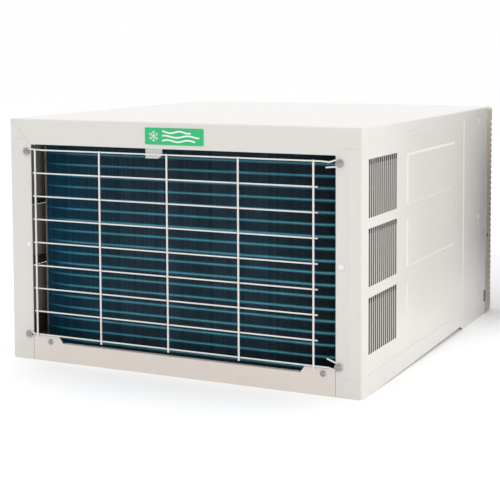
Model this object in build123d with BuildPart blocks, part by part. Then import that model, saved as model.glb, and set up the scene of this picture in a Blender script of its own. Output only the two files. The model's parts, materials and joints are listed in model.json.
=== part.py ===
from build123d import *
from math import cos, radians, sin
import os

# Window air conditioner, outdoor end facing +Y, room end facing -Y, standing on z = 0.
# Every depth below is counted from the rear sheet of the cabinet towards the room.

# ---------------------------------------------------------------- driving dimensions (mm)
WIDTH = 660.0  # sheet cabinet, side to side
HEIGHT = 425.0  # sheet cabinet, floor to top
DEPTH = 770.0  # rear sheet to the face of the front panel
GUARD_PROUD = 6.0  # the wire guard's screw heads stand this far behind the rear sheet
SHEET = 1.2  # cabinet steel
BEND_R = 3.5  # outside radius of a folded cabinet edge
SHELL_LENGTH = 704.6  # the sheet cabinet ends here, just behind the front panel
REAR_Y = (DEPTH - GUARD_PROUD) / 2
CLEAR = 0.4  # gap between pieces that slide past each other

# rear opening and its frame
OPENING_HALF = 286.0
OPENING_TOP = 380.5
RAIL_HALF = OPENING_HALF - 0.6
RAIL_TAB_TOP = 44.0
RAIL_MIDDLE_TOP = 33.5

# shallow ridge down each rear flange, its section as (distance from the middle, rise)
RIDGE_RISE = 1.3
RIDGE_SECTION = ((287.0, -0.5), (287.0, 0.1), (311.0, RIDGE_RISE), (326.0, 0.05), (326.0, -0.5))
RIDGE_HEIGHTS = (31.0, 390.0)
RIDGE_FLAT_R = 7.0  # flats in the ridge under the screws

# wire guard and the screws of the rear face, as (x, z)
CROSS_WIRE_R = 1.3
POST_WIRE_R = 1.6
POST_WIRES = 5
POST_PITCH = 131.25
POST_FIRST_X = 275.0
CROSS_WIRES = 7
CROSS_PITCH = 40.5
CROSS_TOP_Z = 371.0
CROSS_BOTTOM_Z = 46.5
HOOK_R = 3.6
GUARD_SCREWS = ((294.4, 367.6), (294.6, 44.7), (-292.9, 368.5), (-291.2, 48.7))
FLANGE_SCREWS = ((293.6, 205.0), (-294.7, 207.0))
RAIL_SCREWS = ((250.7, 34.5), (-264.5, 35.6))
SCREW_R = 2.0

# side louvres: three rows of upright slots near the rear
LOUVRE_ROWS = ((65.5, 155.5), (173.0, 265.0), (281.5, 373.7))
LOUVRES = 14
LOUVRE_FIRST = 28.0
LOUVRE_LAST = 159.0
SLOT_WIDTH = 8.0
BLADE_GAPS = {-1: 9.0, 1: 0.4}  # the blades of each side stop this far short of the slots' tops
# A blade's section, as (inset from the outer side, step across the slot from its hinged edge).
BLADE_SECTION = ((0.4, -0.9), (0.4, 0.1), (7.2, 6.5), (8.1, 5.7), (1.3, -0.9))
FIELD_ROWS = ((68.0, 151.0), (174.7, 258.5), (281.0, 369.0))
FIELD_DEPTHS = (209.0, 486.0)
EMBOSS = 1.4
EMBOSS_TAPER = 70.0  # degrees off square, which makes a soft pressed edge
NOTCH_DEPTH = 11.0  # notch low in each side sheet's front end

# condenser coil, bowed towards the fan at both ends
COIL_FACE = 50.0
COIL_THICK = 44.0
COIL_FLAT_HALF = 230.0
COIL_BEND_R = 170.0
COIL_BEND = 24.3
COIL_LOW = 12.0
COIL_HIGH = 390.0
COIL_TUBES = 19
COIL_TUBE_PITCH = 19.6
COIL_TUBE_LOW = 27.4
COIL_ROWS = 3
COIL_ROW_PITCH = 14.6
TUBE_R = 3.8

# fan and blower on one shaft
SHAFT_X = 40.0
SHAFT_Z = 190.0
SHAFT_R = 6.0
RUNNING_FIT = 0.05
SLINGER_R = 154.0
FAN_BLADES = 5
SHROUD_HOLE_R = 162.0
WHEEL_R = 100.0
WHEEL_BLADES = 36
MOTOR_R = 62.0

# chassis and room side
PAN_HALF = 318.0
PAN_FLOOR = 9.6
PAN_FRONT = 733.0
PANEL_HALF = 331.0
PANEL_TOP = 422.0
PANEL_BOTTOM = 3.0
PANEL_BACK = 705.0
PANEL_WALL = 2.4
PANEL_CORNER_R = 34.0
PANEL_EDGE_R = 6.0
PANEL_FOOT_R = 5.0
LIP = 2.0  # thickness of the lip that steps inside the sheet cabinet
LIP_DEPTHS = (692.0, 712.0)
OUTLET = (-288.0, 288.0, 314.0, 390.0)  # x low, x high, z low, z high
INTAKE = (-290.0, 180.0, 30.0, 290.0)
NICHE = (200.0, 290.0, 30.0, 290.0)
RIB_PITCH = 11.0
RIB_TURN = 15.0  # the ribs sit this many degrees round the panel's corner
RIB_CUT = 1.5
PANEL_SCREW = (713.0, 161.0)  # depth and height of the screw on each side
SCREW_SEAT = 1.6
GLAND_PLACE = (300.0, 745.0)  # x and depth of the mains cord's way out, in the panel's floor
GLAND_HOLE_R = 4.0
FLAT_VANES = 3
FLAT_VANE_PITCH = 25.0
UPRIGHT_VANES = 5
UPRIGHT_VANE_PITCH = 115.0
VANE_PIVOT_DEPTH = 716.0
VANE_PIN_R = 2.0
LINK_ARM = 16.0
KNOB_X = 245.0
KNOB_HEIGHTS = (230.0, 150.0)
VENT_Z = 75.0
VENT_HINGE_Z = 108.0
VENT_HINGE_DEPTH = 499.0


def behind(depth):
    """Y of the plane that lies this deep in from the rear sheet."""
    return REAR_Y - depth


def block(x, depths, z, mode=Mode.ADD):
    """Adds or cuts a box given its limits in x, its depths from the rear sheet and its heights."""
    middle = ((x[0] + x[1]) / 2, behind((depths[0] + depths[1]) / 2), (z[0] + z[1]) / 2)
    with Locations(middle):
        Box(abs(x[1] - x[0]), abs(depths[1] - depths[0]), abs(z[1] - z[0]), mode=mode)


def round_y(x, z, radius, depths, mode=Mode.ADD):
    """Adds or cuts a cylinder that lies along Y between two depths."""
    with Locations((x, behind((depths[0] + depths[1]) / 2), z)):
        Cylinder(radius, abs(depths[1] - depths[0]), rotation=(90, 0, 0), mode=mode)


def round_x(depth, z, radius, x, mode=Mode.ADD):
    """Adds or cuts a cylinder that lies along X between two limits."""
    with Locations(((x[0] + x[1]) / 2, behind(depth), z)):
        Cylinder(radius, abs(x[1] - x[0]), rotation=(0, 90, 0), mode=mode)


def round_z(x, depth, radius, z, mode=Mode.ADD):
    """Adds or cuts an upright cylinder between two heights."""
    with Locations((x, behind(depth), (z[0] + z[1]) / 2)):
        Cylinder(radius, abs(z[1] - z[0]), mode=mode)


def finish(builder, name):
    """Labels one finished piece and writes its file."""
    builder.part.label = name
    export_step(builder.part, f"parts/{name}.step")


os.makedirs("parts", exist_ok=True)

# ================================================================ cabinet
# Wrapper: one sheet folded over the top and down both sides, with flanges round the rear opening.
with BuildPart() as wrapper_outside:
    block((-WIDTH / 2, WIDTH / 2), (0, SHELL_LENGTH), (0, HEIGHT))
    long_edges = wrapper_outside.edges().filter_by(Axis.Y).group_by(Axis.Z)[-1]
    rear_edges = wrapper_outside.faces().sort_by(Axis.Y)[-1].edges().sort_by(Axis.Z)[1:]
    fillet(long_edges + rear_edges, BEND_R)

with BuildPart() as wrapper_inside:
    block((-WIDTH / 2 + SHEET, WIDTH / 2 - SHEET), (SHEET, SHELL_LENGTH + 5), (-5, HEIGHT - SHEET))
    long_edges = wrapper_inside.edges().filter_by(Axis.Y).group_by(Axis.Z)[-1]
    rear_edges = wrapper_inside.faces().sort_by(Axis.Y)[-1].edges().sort_by(Axis.Z)[1:]
    fillet(long_edges + rear_edges, BEND_R - SHEET)

slot_pitch = (LOUVRE_LAST - LOUVRE_FIRST - SLOT_WIDTH) / (LOUVRES - 1)
slot_middles = [behind(LOUVRE_FIRST + SLOT_WIDTH / 2 + n * slot_pitch) for n in range(LOUVRES)]

with BuildPart() as outer_cabinet:
    add(wrapper_outside.part)
    add(wrapper_inside.part, mode=Mode.SUBTRACT)
    block((-OPENING_HALF, OPENING_HALF), (-5, SHEET + 5), (-5, OPENING_TOP), Mode.SUBTRACT)

    # The side sheets lift off the floor towards the front and come down again at the end.
    with BuildSketch(Plane.YZ):
        with BuildLine():
            Polyline(
                (behind(25), -2), (behind(25), 0), (behind(510), 7), (behind(530), 7),
                (behind(545), 0), (behind(545), -2), close=True,
            )
        make_face()
    extrude(amount=WIDTH, both=True, mode=Mode.SUBTRACT)

    # Louvre slots in both sides, then their blades leaning inwards: from the slots' front edges
    # on the -X side, from their rear edges on the +X side, where they hide what lies beyond.
    for side in (-1, 1):
        for low, high in LOUVRE_ROWS:
            with Locations(*[(side * (WIDTH / 2 - SHEET / 2), y, (low + high) / 2) for y in slot_middles]):
                Box(SHEET * 3, SLOT_WIDTH, high - low, mode=Mode.SUBTRACT)
    for side in (-1, 1):
        for low, high in LOUVRE_ROWS:
            with BuildSketch(Plane.XY.offset(low)):
                with Locations(*[(0, y - SLOT_WIDTH / 2) for y in slot_middles]):
                    steps = [step if side < 0 else SLOT_WIDTH - step for inset, step in BLADE_SECTION]
                    insets = [side * (WIDTH / 2 - inset) for inset, step in BLADE_SECTION]
                    blade = list(zip(insets, steps))
                    Polygon(*blade, align=None)
            extrude(amount=high - low - BLADE_GAPS[side])

    # Pressed fields, stiffening ribs, dimples and the crease near the front, on both sides.
    for side in (-1, 1):
        side_plane = Plane(origin=(side * WIDTH / 2, 0, 0), x_dir=(0, 1, 0), z_dir=(side, 0, 0))
        field_length = FIELD_DEPTHS[1] - FIELD_DEPTHS[0]
        field_middle = behind((FIELD_DEPTHS[0] + FIELD_DEPTHS[1]) / 2)
        up = side_plane.y_dir.Z
        for low, high in FIELD_ROWS:
            with BuildSketch(side_plane):
                with Locations((field_middle, up * (low + high) / 2)):
                    RectangleRounded(field_length, high - low, 8)
            extrude(amount=EMBOSS, taper=EMBOSS_TAPER)
            with BuildSketch(side_plane.offset(-SHEET)):
                with Locations((field_middle, up * (low + high) / 2)):
                    RectangleRounded(field_length - 1.6, high - low - 1.6, 7.2)
            extrude(amount=EMBOSS, taper=EMBOSS_TAPER, mode=Mode.SUBTRACT)
        with BuildSketch(side_plane):
            with Locations((behind(95), up * 400.5)):
                SlotOverall(140, 5)
            with Locations((behind(266), up * 400.5)):
                SlotOverall(118, 5)
            with Locations((behind(251), up * 32)):
                SlotOverall(442, 5)
            with Locations((behind(545), up * 213)):
                SlotOverall(392, 4, rotation=90)
            for depth, z in ((640, 50), (651, 206), (654, 398)):
                with Locations((behind(depth), up * z)):
                    Circle(5)
        extrude(amount=0.9, taper=35)
        with Locations((side * WIDTH / 2, behind(SHELL_LENGTH), 37.5)):
            Box(10, 2 * NOTCH_DEPTH, 23, mode=Mode.SUBTRACT)
        round_x(657, 369, 1.6, (side * (WIDTH / 2 - 5), side * (WIDTH / 2 + 5)), Mode.SUBTRACT)

    # A shallow ridge down each rear flange with flats under the screws, the mitre, the screw holes.
    for side in (-1, 1):
        with BuildSketch(Plane.XY.offset(RIDGE_HEIGHTS[0])):
            Polygon(*[(side * x, REAR_Y + rise) for x, rise in RIDGE_SECTION], align=None)
        extrude(amount=RIDGE_HEIGHTS[1] - RIDGE_HEIGHTS[0])
    for x, z in GUARD_SCREWS + FLANGE_SCREWS:
        round_y(x, z, RIDGE_FLAT_R, (-RIDGE_RISE - 1, 0), Mode.SUBTRACT)
    with Locations((308, REAR_Y, 402.75)):
        Box(61, 0.8, 0.6, rotation=(0, -45, 0), mode=Mode.SUBTRACT)
    for x, z in GUARD_SCREWS + FLANGE_SCREWS:
        round_y(x, z, SCREW_R + 0.1, (-2, SHEET + 2), Mode.SUBTRACT)
finish(outer_cabinet, "outer_cabinet")

# Base plate on two skids, with upturned edges inside the wrapper.
BASE_TOP = PAN_FLOOR - CLEAR
BASE_HALF = WIDTH / 2 - SHEET - 0.2
BASE_DEPTHS = (4.0, 690.0)
SKID_X = 205.0
SKID_DEPTHS = (24.0, 684.0)
with BuildPart() as cabinet_base:
    block((-BASE_HALF, BASE_HALF), BASE_DEPTHS, (BASE_TOP - SHEET, BASE_TOP + 12))
    block((-BASE_HALF + SHEET, BASE_HALF - SHEET), (0, 700), (BASE_TOP, BASE_TOP + 20), Mode.SUBTRACT)
    for side in (-1, 1):
        block((side * SKID_X - 18, side * SKID_X + 18), SKID_DEPTHS, (0, BASE_TOP - SHEET))
        block(
            (side * SKID_X - 16.8, side * SKID_X + 16.8),
            (SKID_DEPTHS[0] - 5, SKID_DEPTHS[1] + 5), (SHEET, BASE_TOP - SHEET), Mode.SUBTRACT,
        )
        # Two bolt holes through each skid, for a wall bracket.
        for depth in (120.0, 560.0):
            round_z(side * SKID_X, depth, 4.5, (-5, BASE_TOP + 5), Mode.SUBTRACT)
finish(cabinet_base, "cabinet_base")

# Bottom rail of the rear frame: raised ends, folded-in lips along its top, a foot under the base.
with BuildPart() as rear_bottom_rail:
    with BuildSketch(Plane(origin=(0, REAR_Y, 0), x_dir=(-1, 0, 0), z_dir=(0, 1, 0))):
        with BuildLine():
            Polyline(
                (-RAIL_HALF, 0), (RAIL_HALF, 0), (RAIL_HALF, RAIL_TAB_TOP), (233, RAIL_TAB_TOP),
                (225, RAIL_MIDDLE_TOP), (-225, RAIL_MIDDLE_TOP), (-233, RAIL_TAB_TOP),
                (-RAIL_HALF, RAIL_TAB_TOP), close=True,
            )
        make_face()
    extrude(amount=-SHEET)
    block((-224, 224), (0, 9), (RAIL_MIDDLE_TOP - SHEET, RAIL_MIDDLE_TOP))
    for side in (-1, 1):
        block((side * 235, side * RAIL_HALF), (0, 9), (RAIL_TAB_TOP - SHEET, RAIL_TAB_TOP))
    block((-280, 280), (0, 15), (BASE_TOP - 2 * SHEET, BASE_TOP - SHEET))
    for x, z in RAIL_SCREWS:
        round_y(x, z, SCREW_R + 0.1, (-2, SHEET + 2), Mode.SUBTRACT)
finish(rear_bottom_rail, "rear_bottom_rail")

# Wire guard: posts welded outside the cross wires; the top and bottom wires hook round four screws.
cross_out = -(CROSS_WIRE_R + 0.1)
post_out = cross_out - (CROSS_WIRE_R + POST_WIRE_R - 0.3)
top_route = (
    (289.5, 363.4), (298.6, 363.4), (298.6, 371.8), (280, 371.8), (262, CROSS_TOP_Z),
    (-262, CROSS_TOP_Z), (-276, 370.0), (-285, 373.0), (-297.2, 373.0), (-297.2, 364.0), (-270, 361.5),
)
bottom_route = (
    (289.5, 40.4), (298.8, 40.4), (298.8, 49.2), (289.5, 49.2), (281, CROSS_BOTTOM_Z),
    (-274, CROSS_BOTTOM_Z), (-283, 44.2), (-295.6, 44.2), (-295.6, 52.0), (-272, 60.7),
)
with BuildPart() as wire_guard:
    for n in range(POST_WIRES):
        round_z(POST_FIRST_X - n * POST_PITCH, post_out, POST_WIRE_R, (41.5, 373.0))
    for n in range(CROSS_WIRES):
        round_x(cross_out, CROSS_TOP_Z - (n + 1) * CROSS_PITCH, CROSS_WIRE_R, (-256, 281))
    for route in (top_route, bottom_route):
        with BuildLine() as wire_line:
            FilletPolyline(*[(x, behind(cross_out), z) for x, z in route], radius=HOOK_R)
        start = wire_line.wires()[0] @ 0
        with BuildSketch(Plane(origin=start, z_dir=wire_line.wires()[0] % 0)):
            Circle(CROSS_WIRE_R)
        sweep(path=wire_line.wires()[0])
finish(wire_guard, "wire_guard")

WASHER_OUT = 2 * CROSS_WIRE_R + 0.2
with BuildPart() as guard_screws:
    for x, z in GUARD_SCREWS:
        round_y(x, z, 6.5, (-WASHER_OUT, -WASHER_OUT - 1.0))
        round_y(x, z, 4.2, (-WASHER_OUT - 1.0, -GUARD_PROUD))
        round_y(x, z, SCREW_R, (-WASHER_OUT, 8))
        with Locations((x, behind(-GUARD_PROUD), z)):
            Box(5.4, 1.2, 0.9, mode=Mode.SUBTRACT)
            Box(0.9, 1.2, 5.4, mode=Mode.SUBTRACT)
finish(guard_screws, "guard_screws")


def pan_head_screws(places, head_r, proud):
    """Cross-recessed screws through the rear sheet, made in the part that calls this."""
    for x, z in places:
        round_y(x, z, head_r, (0, -proud))
        round_y(x, z, SCREW_R, (0, 8))
        with Locations((x, behind(-proud), z)):
            Box(head_r * 1.2, 1.4, 0.9, mode=Mode.SUBTRACT)
            Box(0.9, 1.4, head_r * 1.2, mode=Mode.SUBTRACT)


with BuildPart() as flange_screws:
    pan_head_screws(FLANGE_SCREWS, 4.6, 1.8)
finish(flange_screws, "flange_screws")

with BuildPart() as rail_screws:
    pan_head_screws(RAIL_SCREWS, 5.0, 2.4)
finish(rail_screws, "rail_screws")

# Badge: a plain plate with a six-armed frost star and three airflow bars in relief.
BADGE_Z = 401.5
BADGE_THICK = 1.0
rear_plane = Plane(origin=(0, REAR_Y, 0), x_dir=(-1, 0, 0), z_dir=(0, 1, 0))
with BuildPart() as badge_plate:
    with BuildSketch(rear_plane):
        with Locations((0, BADGE_Z)):
            RectangleRounded(110, 28, 1.5)
    extrude(amount=BADGE_THICK)
    with BuildSketch(rear_plane.offset(BADGE_THICK)):
        with Locations((-38, BADGE_Z)):
            with PolarLocations(0, 3):
                SlotOverall(18, 1.8)
        for row, length in ((6, 44), (0, 58), (-6, 50)):
            with Locations((10, BADGE_Z + row)):
                SlotOverall(length, 2.4)
    extrude(amount=0.35)
finish(badge_plate, "badge_plate")

# Clip that hangs from the top flange in front of the coil's upper edge.
with BuildPart() as retainer_clip:
    with BuildSketch(rear_plane.offset(-SHEET - 0.2)):
        with BuildLine():
            Polyline((-55.5, 364), (-32, 364), (-24, 370), (-24, 398), (-55.5, 398), close=True)
        make_face()
    extrude(amount=-2.2)
finish(retainer_clip, "retainer_clip")

# ================================================================ chassis: pan and condenser
with BuildPart() as chassis_pan:
    block((-PAN_HALF, PAN_HALF), (14, PAN_FRONT), (PAN_FLOOR, PAN_FLOOR + 22))
    block(
        (-PAN_HALF + SHEET, PAN_HALF - SHEET), (14 + SHEET, PAN_FRONT - SHEET),
        (PAN_FLOOR + SHEET, PAN_FLOOR + 30), Mode.SUBTRACT,
    )
finish(chassis_pan, "chassis_pan")
PAN_TOP = PAN_FLOOR + SHEET

coil_centre_y = behind(COIL_FACE) - COIL_BEND_R
coil_inner_r = COIL_BEND_R - COIL_THICK
coil_middle_r = COIL_BEND_R - COIL_THICK / 2
bend = radians(COIL_BEND)
with BuildPart() as condenser_fins:
    with BuildSketch(Plane.XY.offset(COIL_LOW)):
        with BuildLine():
            for radius in (COIL_BEND_R, coil_inner_r):
                y = coil_centre_y + radius
                Line((-COIL_FLAT_HALF, y), (COIL_FLAT_HALF, y))
                CenterArc((COIL_FLAT_HALF, coil_centre_y), radius, 90 - COIL_BEND, COIL_BEND)
                CenterArc((-COIL_FLAT_HALF, coil_centre_y), radius, 90, COIL_BEND)
            for side in (-1, 1):
                Line(
                    *[
                        (side * (COIL_FLAT_HALF + r * sin(bend)), coil_centre_y + r * cos(bend))
                        for r in (coil_inner_r, COIL_BEND_R)
                    ]
                )
        make_face()
    extrude(amount=COIL_HIGH - COIL_LOW)
finish(condenser_fins, "condenser_fins")


def coil_end(side, radius, out):
    """A point at one end of the coil, on the given bend radius and this far beyond the last fin."""
    x = COIL_FLAT_HALF + radius * sin(bend) + out * cos(bend)
    return side * x, coil_centre_y + radius * cos(bend) - out * sin(bend)


with BuildPart() as condenser_end_plates:
    for side in (-1, 1):
        x, y = coil_end(side, coil_middle_r, SHEET / 2)
        with Locations(Location((x, y, (PAN_TOP + COIL_HIGH) / 2), (0, 0, -side * COIL_BEND))):
            Box(SHEET, COIL_THICK + 4, COIL_HIGH - PAN_TOP)
finish(condenser_end_plates, "condenser_end_plates")

with BuildPart() as condenser_return_bends:
    for side in (-1, 1):
        axis = (sin(bend), side * cos(bend), 0)
        for row in range(COIL_ROWS):
            radius = coil_middle_r + (row - 1) * COIL_ROW_PITCH
            x, y = coil_end(side, radius, SHEET)
            first = COIL_TUBE_LOW + (row % 2) * COIL_TUBE_PITCH
            for n in range(COIL_TUBES // 2):
                z = first + (2 * n + 0.5) * COIL_TUBE_PITCH
                if side < 0:
                    z += COIL_TUBE_PITCH * (1 - 2 * (row % 2))
                with Locations(Plane(origin=(x, y, z), x_dir=(0, 0, 1), z_dir=axis)):
                    Torus(COIL_TUBE_PITCH / 2, TUBE_R, major_angle=180, align=None)
finish(condenser_return_bends, "condenser_return_bends")

SHROUD_BACK = 116.0
SHROUD_PLATE = 128.0
with BuildPart() as fan_shroud:
    block((-302, 302), (SHROUD_BACK, SHROUD_PLATE + SHEET), (PAN_TOP + 0.2, 404))
    inner_heights = (PAN_TOP + 0.2 + SHEET, 404 - SHEET)
    block((-302 + SHEET, 302 - SHEET), (SHROUD_BACK - 5, SHROUD_PLATE), inner_heights, Mode.SUBTRACT)
    round_y(SHAFT_X, SHAFT_Z, SHROUD_HOLE_R + SHEET, (SHROUD_PLATE, 174))
    round_y(SHAFT_X, SHAFT_Z, SHROUD_HOLE_R, (SHROUD_PLATE - 5, 180), Mode.SUBTRACT)
finish(fan_shroud, "fan_shroud")

# ================================================================ motor, fan and blower
MOTOR_DEPTHS = (325.0, 445.0)
with BuildPart() as fan_motor:
    round_y(SHAFT_X, SHAFT_Z, MOTOR_R, MOTOR_DEPTHS)
    fillet(fan_motor.edges().filter_by(GeomType.CIRCLE), 8)
    round_y(SHAFT_X, SHAFT_Z, 20, (MOTOR_DEPTHS[0] - 12, MOTOR_DEPTHS[1] + 12))
    for side in (-1, 1):
        depth = (MOTOR_DEPTHS[0] + MOTOR_DEPTHS[1]) / 2 + side * 52
        with Locations(Plane(origin=(SHAFT_X, behind(depth), SHAFT_Z), z_dir=(0, 1, 0))):
            with PolarLocations(44, 10):
                Cylinder(3, 40, mode=Mode.SUBTRACT)
    round_y(SHAFT_X, SHAFT_Z, SHAFT_R + RUNNING_FIT, (300, 470), Mode.SUBTRACT)
finish(fan_motor, "fan_motor")

with BuildPart() as motor_bracket:
    block((SHAFT_X - 80, SHAFT_X + 80), (340, 430), (PAN_TOP, PAN_TOP + 2))
    for depth in (342, 425):
        block((SHAFT_X - 56, SHAFT_X + 56), (depth, depth + 3), (PAN_TOP + 2, 168))
    round_y(SHAFT_X, SHAFT_Z, MOTOR_R + 0.2, (330, 440), Mode.SUBTRACT)
    for side in (-1, 1):
        block((SHAFT_X + side * 56, SHAFT_X + side * 53), (342, 428), (PAN_TOP + 2, 60))
finish(motor_bracket, "motor_bracket")

SHAFT_DEPTHS = (138.0, 648.0)
with BuildPart() as motor_shaft:
    round_y(SHAFT_X, SHAFT_Z, SHAFT_R, SHAFT_DEPTHS)
    chamfer(motor_shaft.edges(), 1)
finish(motor_shaft, "motor_shaft")

fan_plane = Plane(origin=(SHAFT_X, behind(162), SHAFT_Z), x_dir=(1, 0, 0), z_dir=(0, 1, 0))
with BuildPart() as fan_blade:
    for radius, chord, pitch in ((24, 44, 42), (SLINGER_R - 3, 92, 22)):
        with BuildSketch(Plane(origin=(radius, 0, 0), x_dir=(0, 1, 0), z_dir=(1, 0, 0))):
            Rectangle(chord, 2.0, rotation=pitch)
    loft()

with BuildPart(fan_plane) as condenser_fan:
    Cylinder(SLINGER_R, 12)
    Cylinder(SLINGER_R - 4, 14, mode=Mode.SUBTRACT)
    with PolarLocations(0, FAN_BLADES):
        add(fan_blade.part)
    Cylinder(28, 36)
    Cylinder(SHAFT_R + RUNNING_FIT, 60, mode=Mode.SUBTRACT)
finish(condenser_fan, "condenser_fan")

WHEEL_DEPTHS = (522.0, 640.0)
wheel_length = WHEEL_DEPTHS[1] - WHEEL_DEPTHS[0]
wheel_plane = Plane(origin=(SHAFT_X, behind(WHEEL_DEPTHS[0]), SHAFT_Z), x_dir=(1, 0, 0), z_dir=(0, -1, 0))
with BuildPart() as blower_wheel:
    with BuildSketch(wheel_plane):
        Circle(WHEEL_R)
    extrude(amount=3)
    with BuildSketch(wheel_plane.offset(wheel_length - 4)):
        Circle(WHEEL_R)
        Circle(WHEEL_R - 18, mode=Mode.SUBTRACT)
    extrude(amount=4)
    with BuildSketch(wheel_plane):
        with PolarLocations(WHEEL_R - 9, WHEEL_BLADES):
            Rectangle(15, 1.6, rotation=28)
    extrude(amount=wheel_length)
    with BuildSketch(wheel_plane):
        Circle(20)
    extrude(amount=44)
    hub_depths = (WHEEL_DEPTHS[0] - 5, WHEEL_DEPTHS[0] + 60)
    round_y(SHAFT_X, SHAFT_Z, SHAFT_R + RUNNING_FIT, hub_depths, Mode.SUBTRACT)
finish(blower_wheel, "blower_wheel")

# ================================================================ bulkhead and fresh-air door frame
BULKHEAD_DEPTH = 495.0
VENT_HALF = 23.0
with BuildPart() as bulkhead:
    block((-316, 316), (BULKHEAD_DEPTH, BULKHEAD_DEPTH + SHEET), (PAN_TOP + 0.2, 404))
    for side in (-1, 1):
        block((side * 316, side * (316 - SHEET)), (BULKHEAD_DEPTH - 14, BULKHEAD_DEPTH), (PAN_TOP + 0.2, 404))
    round_y(SHAFT_X, SHAFT_Z, 22, (490, 500), Mode.SUBTRACT)
    block((KNOB_X - VENT_HALF, KNOB_X + VENT_HALF), (490, 500), (62, 104), Mode.SUBTRACT)
    block((-312, -272), (490, 500), (60, 120), Mode.SUBTRACT)
    for side in (-1, 1):
        lug_x = KNOB_X + side * 29
        block((lug_x - 1, lug_x + 1), (BULKHEAD_DEPTH, 504), (VENT_HINGE_Z - 5, VENT_HINGE_Z + 5))
    round_x(VENT_HINGE_DEPTH, VENT_HINGE_Z, 1.5 + RUNNING_FIT, (KNOB_X - 40, KNOB_X + 40), Mode.SUBTRACT)
finish(bulkhead, "bulkhead")

with BuildPart() as vent_door:
    block((KNOB_X - 26, KNOB_X + 26), (498, 500), (58, VENT_HINGE_Z))
    round_x(VENT_HINGE_DEPTH, VENT_HINGE_Z, 2.4, (KNOB_X - 26, KNOB_X + 26))
    round_x(VENT_HINGE_DEPTH, VENT_HINGE_Z, 1.5, (KNOB_X - 30, KNOB_X + 30))
    block((KNOB_X - 2.4, KNOB_X + 2.4), (490, 505), (66, 80), Mode.SUBTRACT)
finish(vent_door, "vent_door")

VENT_BALL_R = 3.2
with BuildPart() as vent_pull:
    round_y(KNOB_X, VENT_Z, 9, (748, 764))
    fillet(vent_pull.edges().filter_by(GeomType.CIRCLE), 2)
    round_y(KNOB_X, VENT_Z, 1.6, (493.6, 750))
    with Locations((KNOB_X, behind(493.6), VENT_Z)):
        Sphere(VENT_BALL_R)
finish(vent_pull, "vent_pull")

# ================================================================ blower housing and air duct
SCROLL_TOP = 312.0
SCROLL_DEPTHS = (505.0, 655.0)
SCROLL_LEFT_R = 146.0
SCROLL_BOTTOM_R = 132.0
SCROLL_RIGHT_R = 116.0
SCROLL_CUTOFF = 74.0
scroll_plane = Plane(origin=(SHAFT_X, behind(SCROLL_DEPTHS[0]), SHAFT_Z), x_dir=(1, 0, 0), z_dir=(0, -1, 0))
throat_top = SCROLL_TOP - SHAFT_Z


def scroll_face(shrink, top):
    """Snail outline round the shaft, opening upwards; shrink makes the inside of the wall."""
    left = SCROLL_LEFT_R - shrink
    bottom = SCROLL_BOTTOM_R - shrink
    right = SCROLL_RIGHT_R - shrink
    cut = SCROLL_CUTOFF - shrink
    with BuildLine() as outline:
        Line((-left, top), (-left, 0))
        EllipticalCenterArc((0, 0), left, bottom, 180, arc_size=90)
        EllipticalCenterArc((0, 0), right, bottom, 270, arc_size=90)
        Line((right, 0), (cut, 88))
        Line((cut, 88), (cut, top))
        Line((cut, top), (-left, top))
    return outline


with BuildPart() as blower_scroll:
    outer_wall = scroll_face(0, throat_top)
    inner_wall = scroll_face(SHEET, throat_top + 5)
    with BuildSketch(scroll_plane) as scroll_outer:
        add(outer_wall.line)
        make_face()
    extrude(amount=SCROLL_DEPTHS[1] - SCROLL_DEPTHS[0])
    with BuildSketch(scroll_plane.offset(SHEET)) as scroll_inner:
        add(inner_wall.line)
        make_face()
    extrude(amount=SCROLL_DEPTHS[1] - SCROLL_DEPTHS[0] - 2 * SHEET, mode=Mode.SUBTRACT)
    round_y(SHAFT_X, SHAFT_Z, 84, (645, 665), Mode.SUBTRACT)
    round_y(SHAFT_X, SHAFT_Z, 12, (500, 510), Mode.SUBTRACT)
finish(blower_scroll, "blower_scroll")

DUCT_WALL = 3.0
DUCT_HALF = OUTLET[1] + 8
DUCT_LOW = SCROLL_TOP
DUCT_HIGH = OUTLET[3] + 2
DUCT_DEPTHS = (500.0, 730.0)
upright_vane_xs = [(n - (UPRIGHT_VANES - 1) / 2) * UPRIGHT_VANE_PITCH for n in range(UPRIGHT_VANES)]
with BuildPart() as discharge_duct:
    duct_outside = DUCT_HALF + DUCT_WALL
    block((-duct_outside, duct_outside), DUCT_DEPTHS, (DUCT_LOW - DUCT_WALL, DUCT_HIGH + DUCT_WALL))
    block((-DUCT_HALF, DUCT_HALF), (DUCT_DEPTHS[0] + DUCT_WALL, 740), (DUCT_LOW, DUCT_HIGH), Mode.SUBTRACT)
    block(
        (SHAFT_X - SCROLL_LEFT_R - 0.3, SHAFT_X + SCROLL_CUTOFF + 0.3),
        (SCROLL_DEPTHS[0] - 0.3, SCROLL_DEPTHS[1] + 0.3), (DUCT_LOW - 10, DUCT_LOW + 1), Mode.SUBTRACT,
    )
    for x in upright_vane_xs:
        round_z(x, VANE_PIVOT_DEPTH, VANE_PIN_R + RUNNING_FIT, (DUCT_LOW - 10, DUCT_HIGH + 10), Mode.SUBTRACT)
finish(discharge_duct, "discharge_duct")

for n, x in enumerate(upright_vane_xs):
    with BuildPart() as upright_vane:
        block((x - 1, x + 1), (VANE_PIVOT_DEPTH - 10, VANE_PIVOT_DEPTH + 10), (DUCT_LOW + 1, DUCT_HIGH - 1))
        round_z(x, VANE_PIVOT_DEPTH, VANE_PIN_R, (DUCT_LOW - DUCT_WALL, DUCT_HIGH + DUCT_WALL))
        block((x - 1.5, x + 1.5), (VANE_PIVOT_DEPTH - LINK_ARM - 2, VANE_PIVOT_DEPTH - 9), (350, 353))
        round_z(x, VANE_PIVOT_DEPTH - LINK_ARM, 1.2, (343.5, 351))
    finish(upright_vane, f"upright_vane_{n + 1}")

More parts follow.
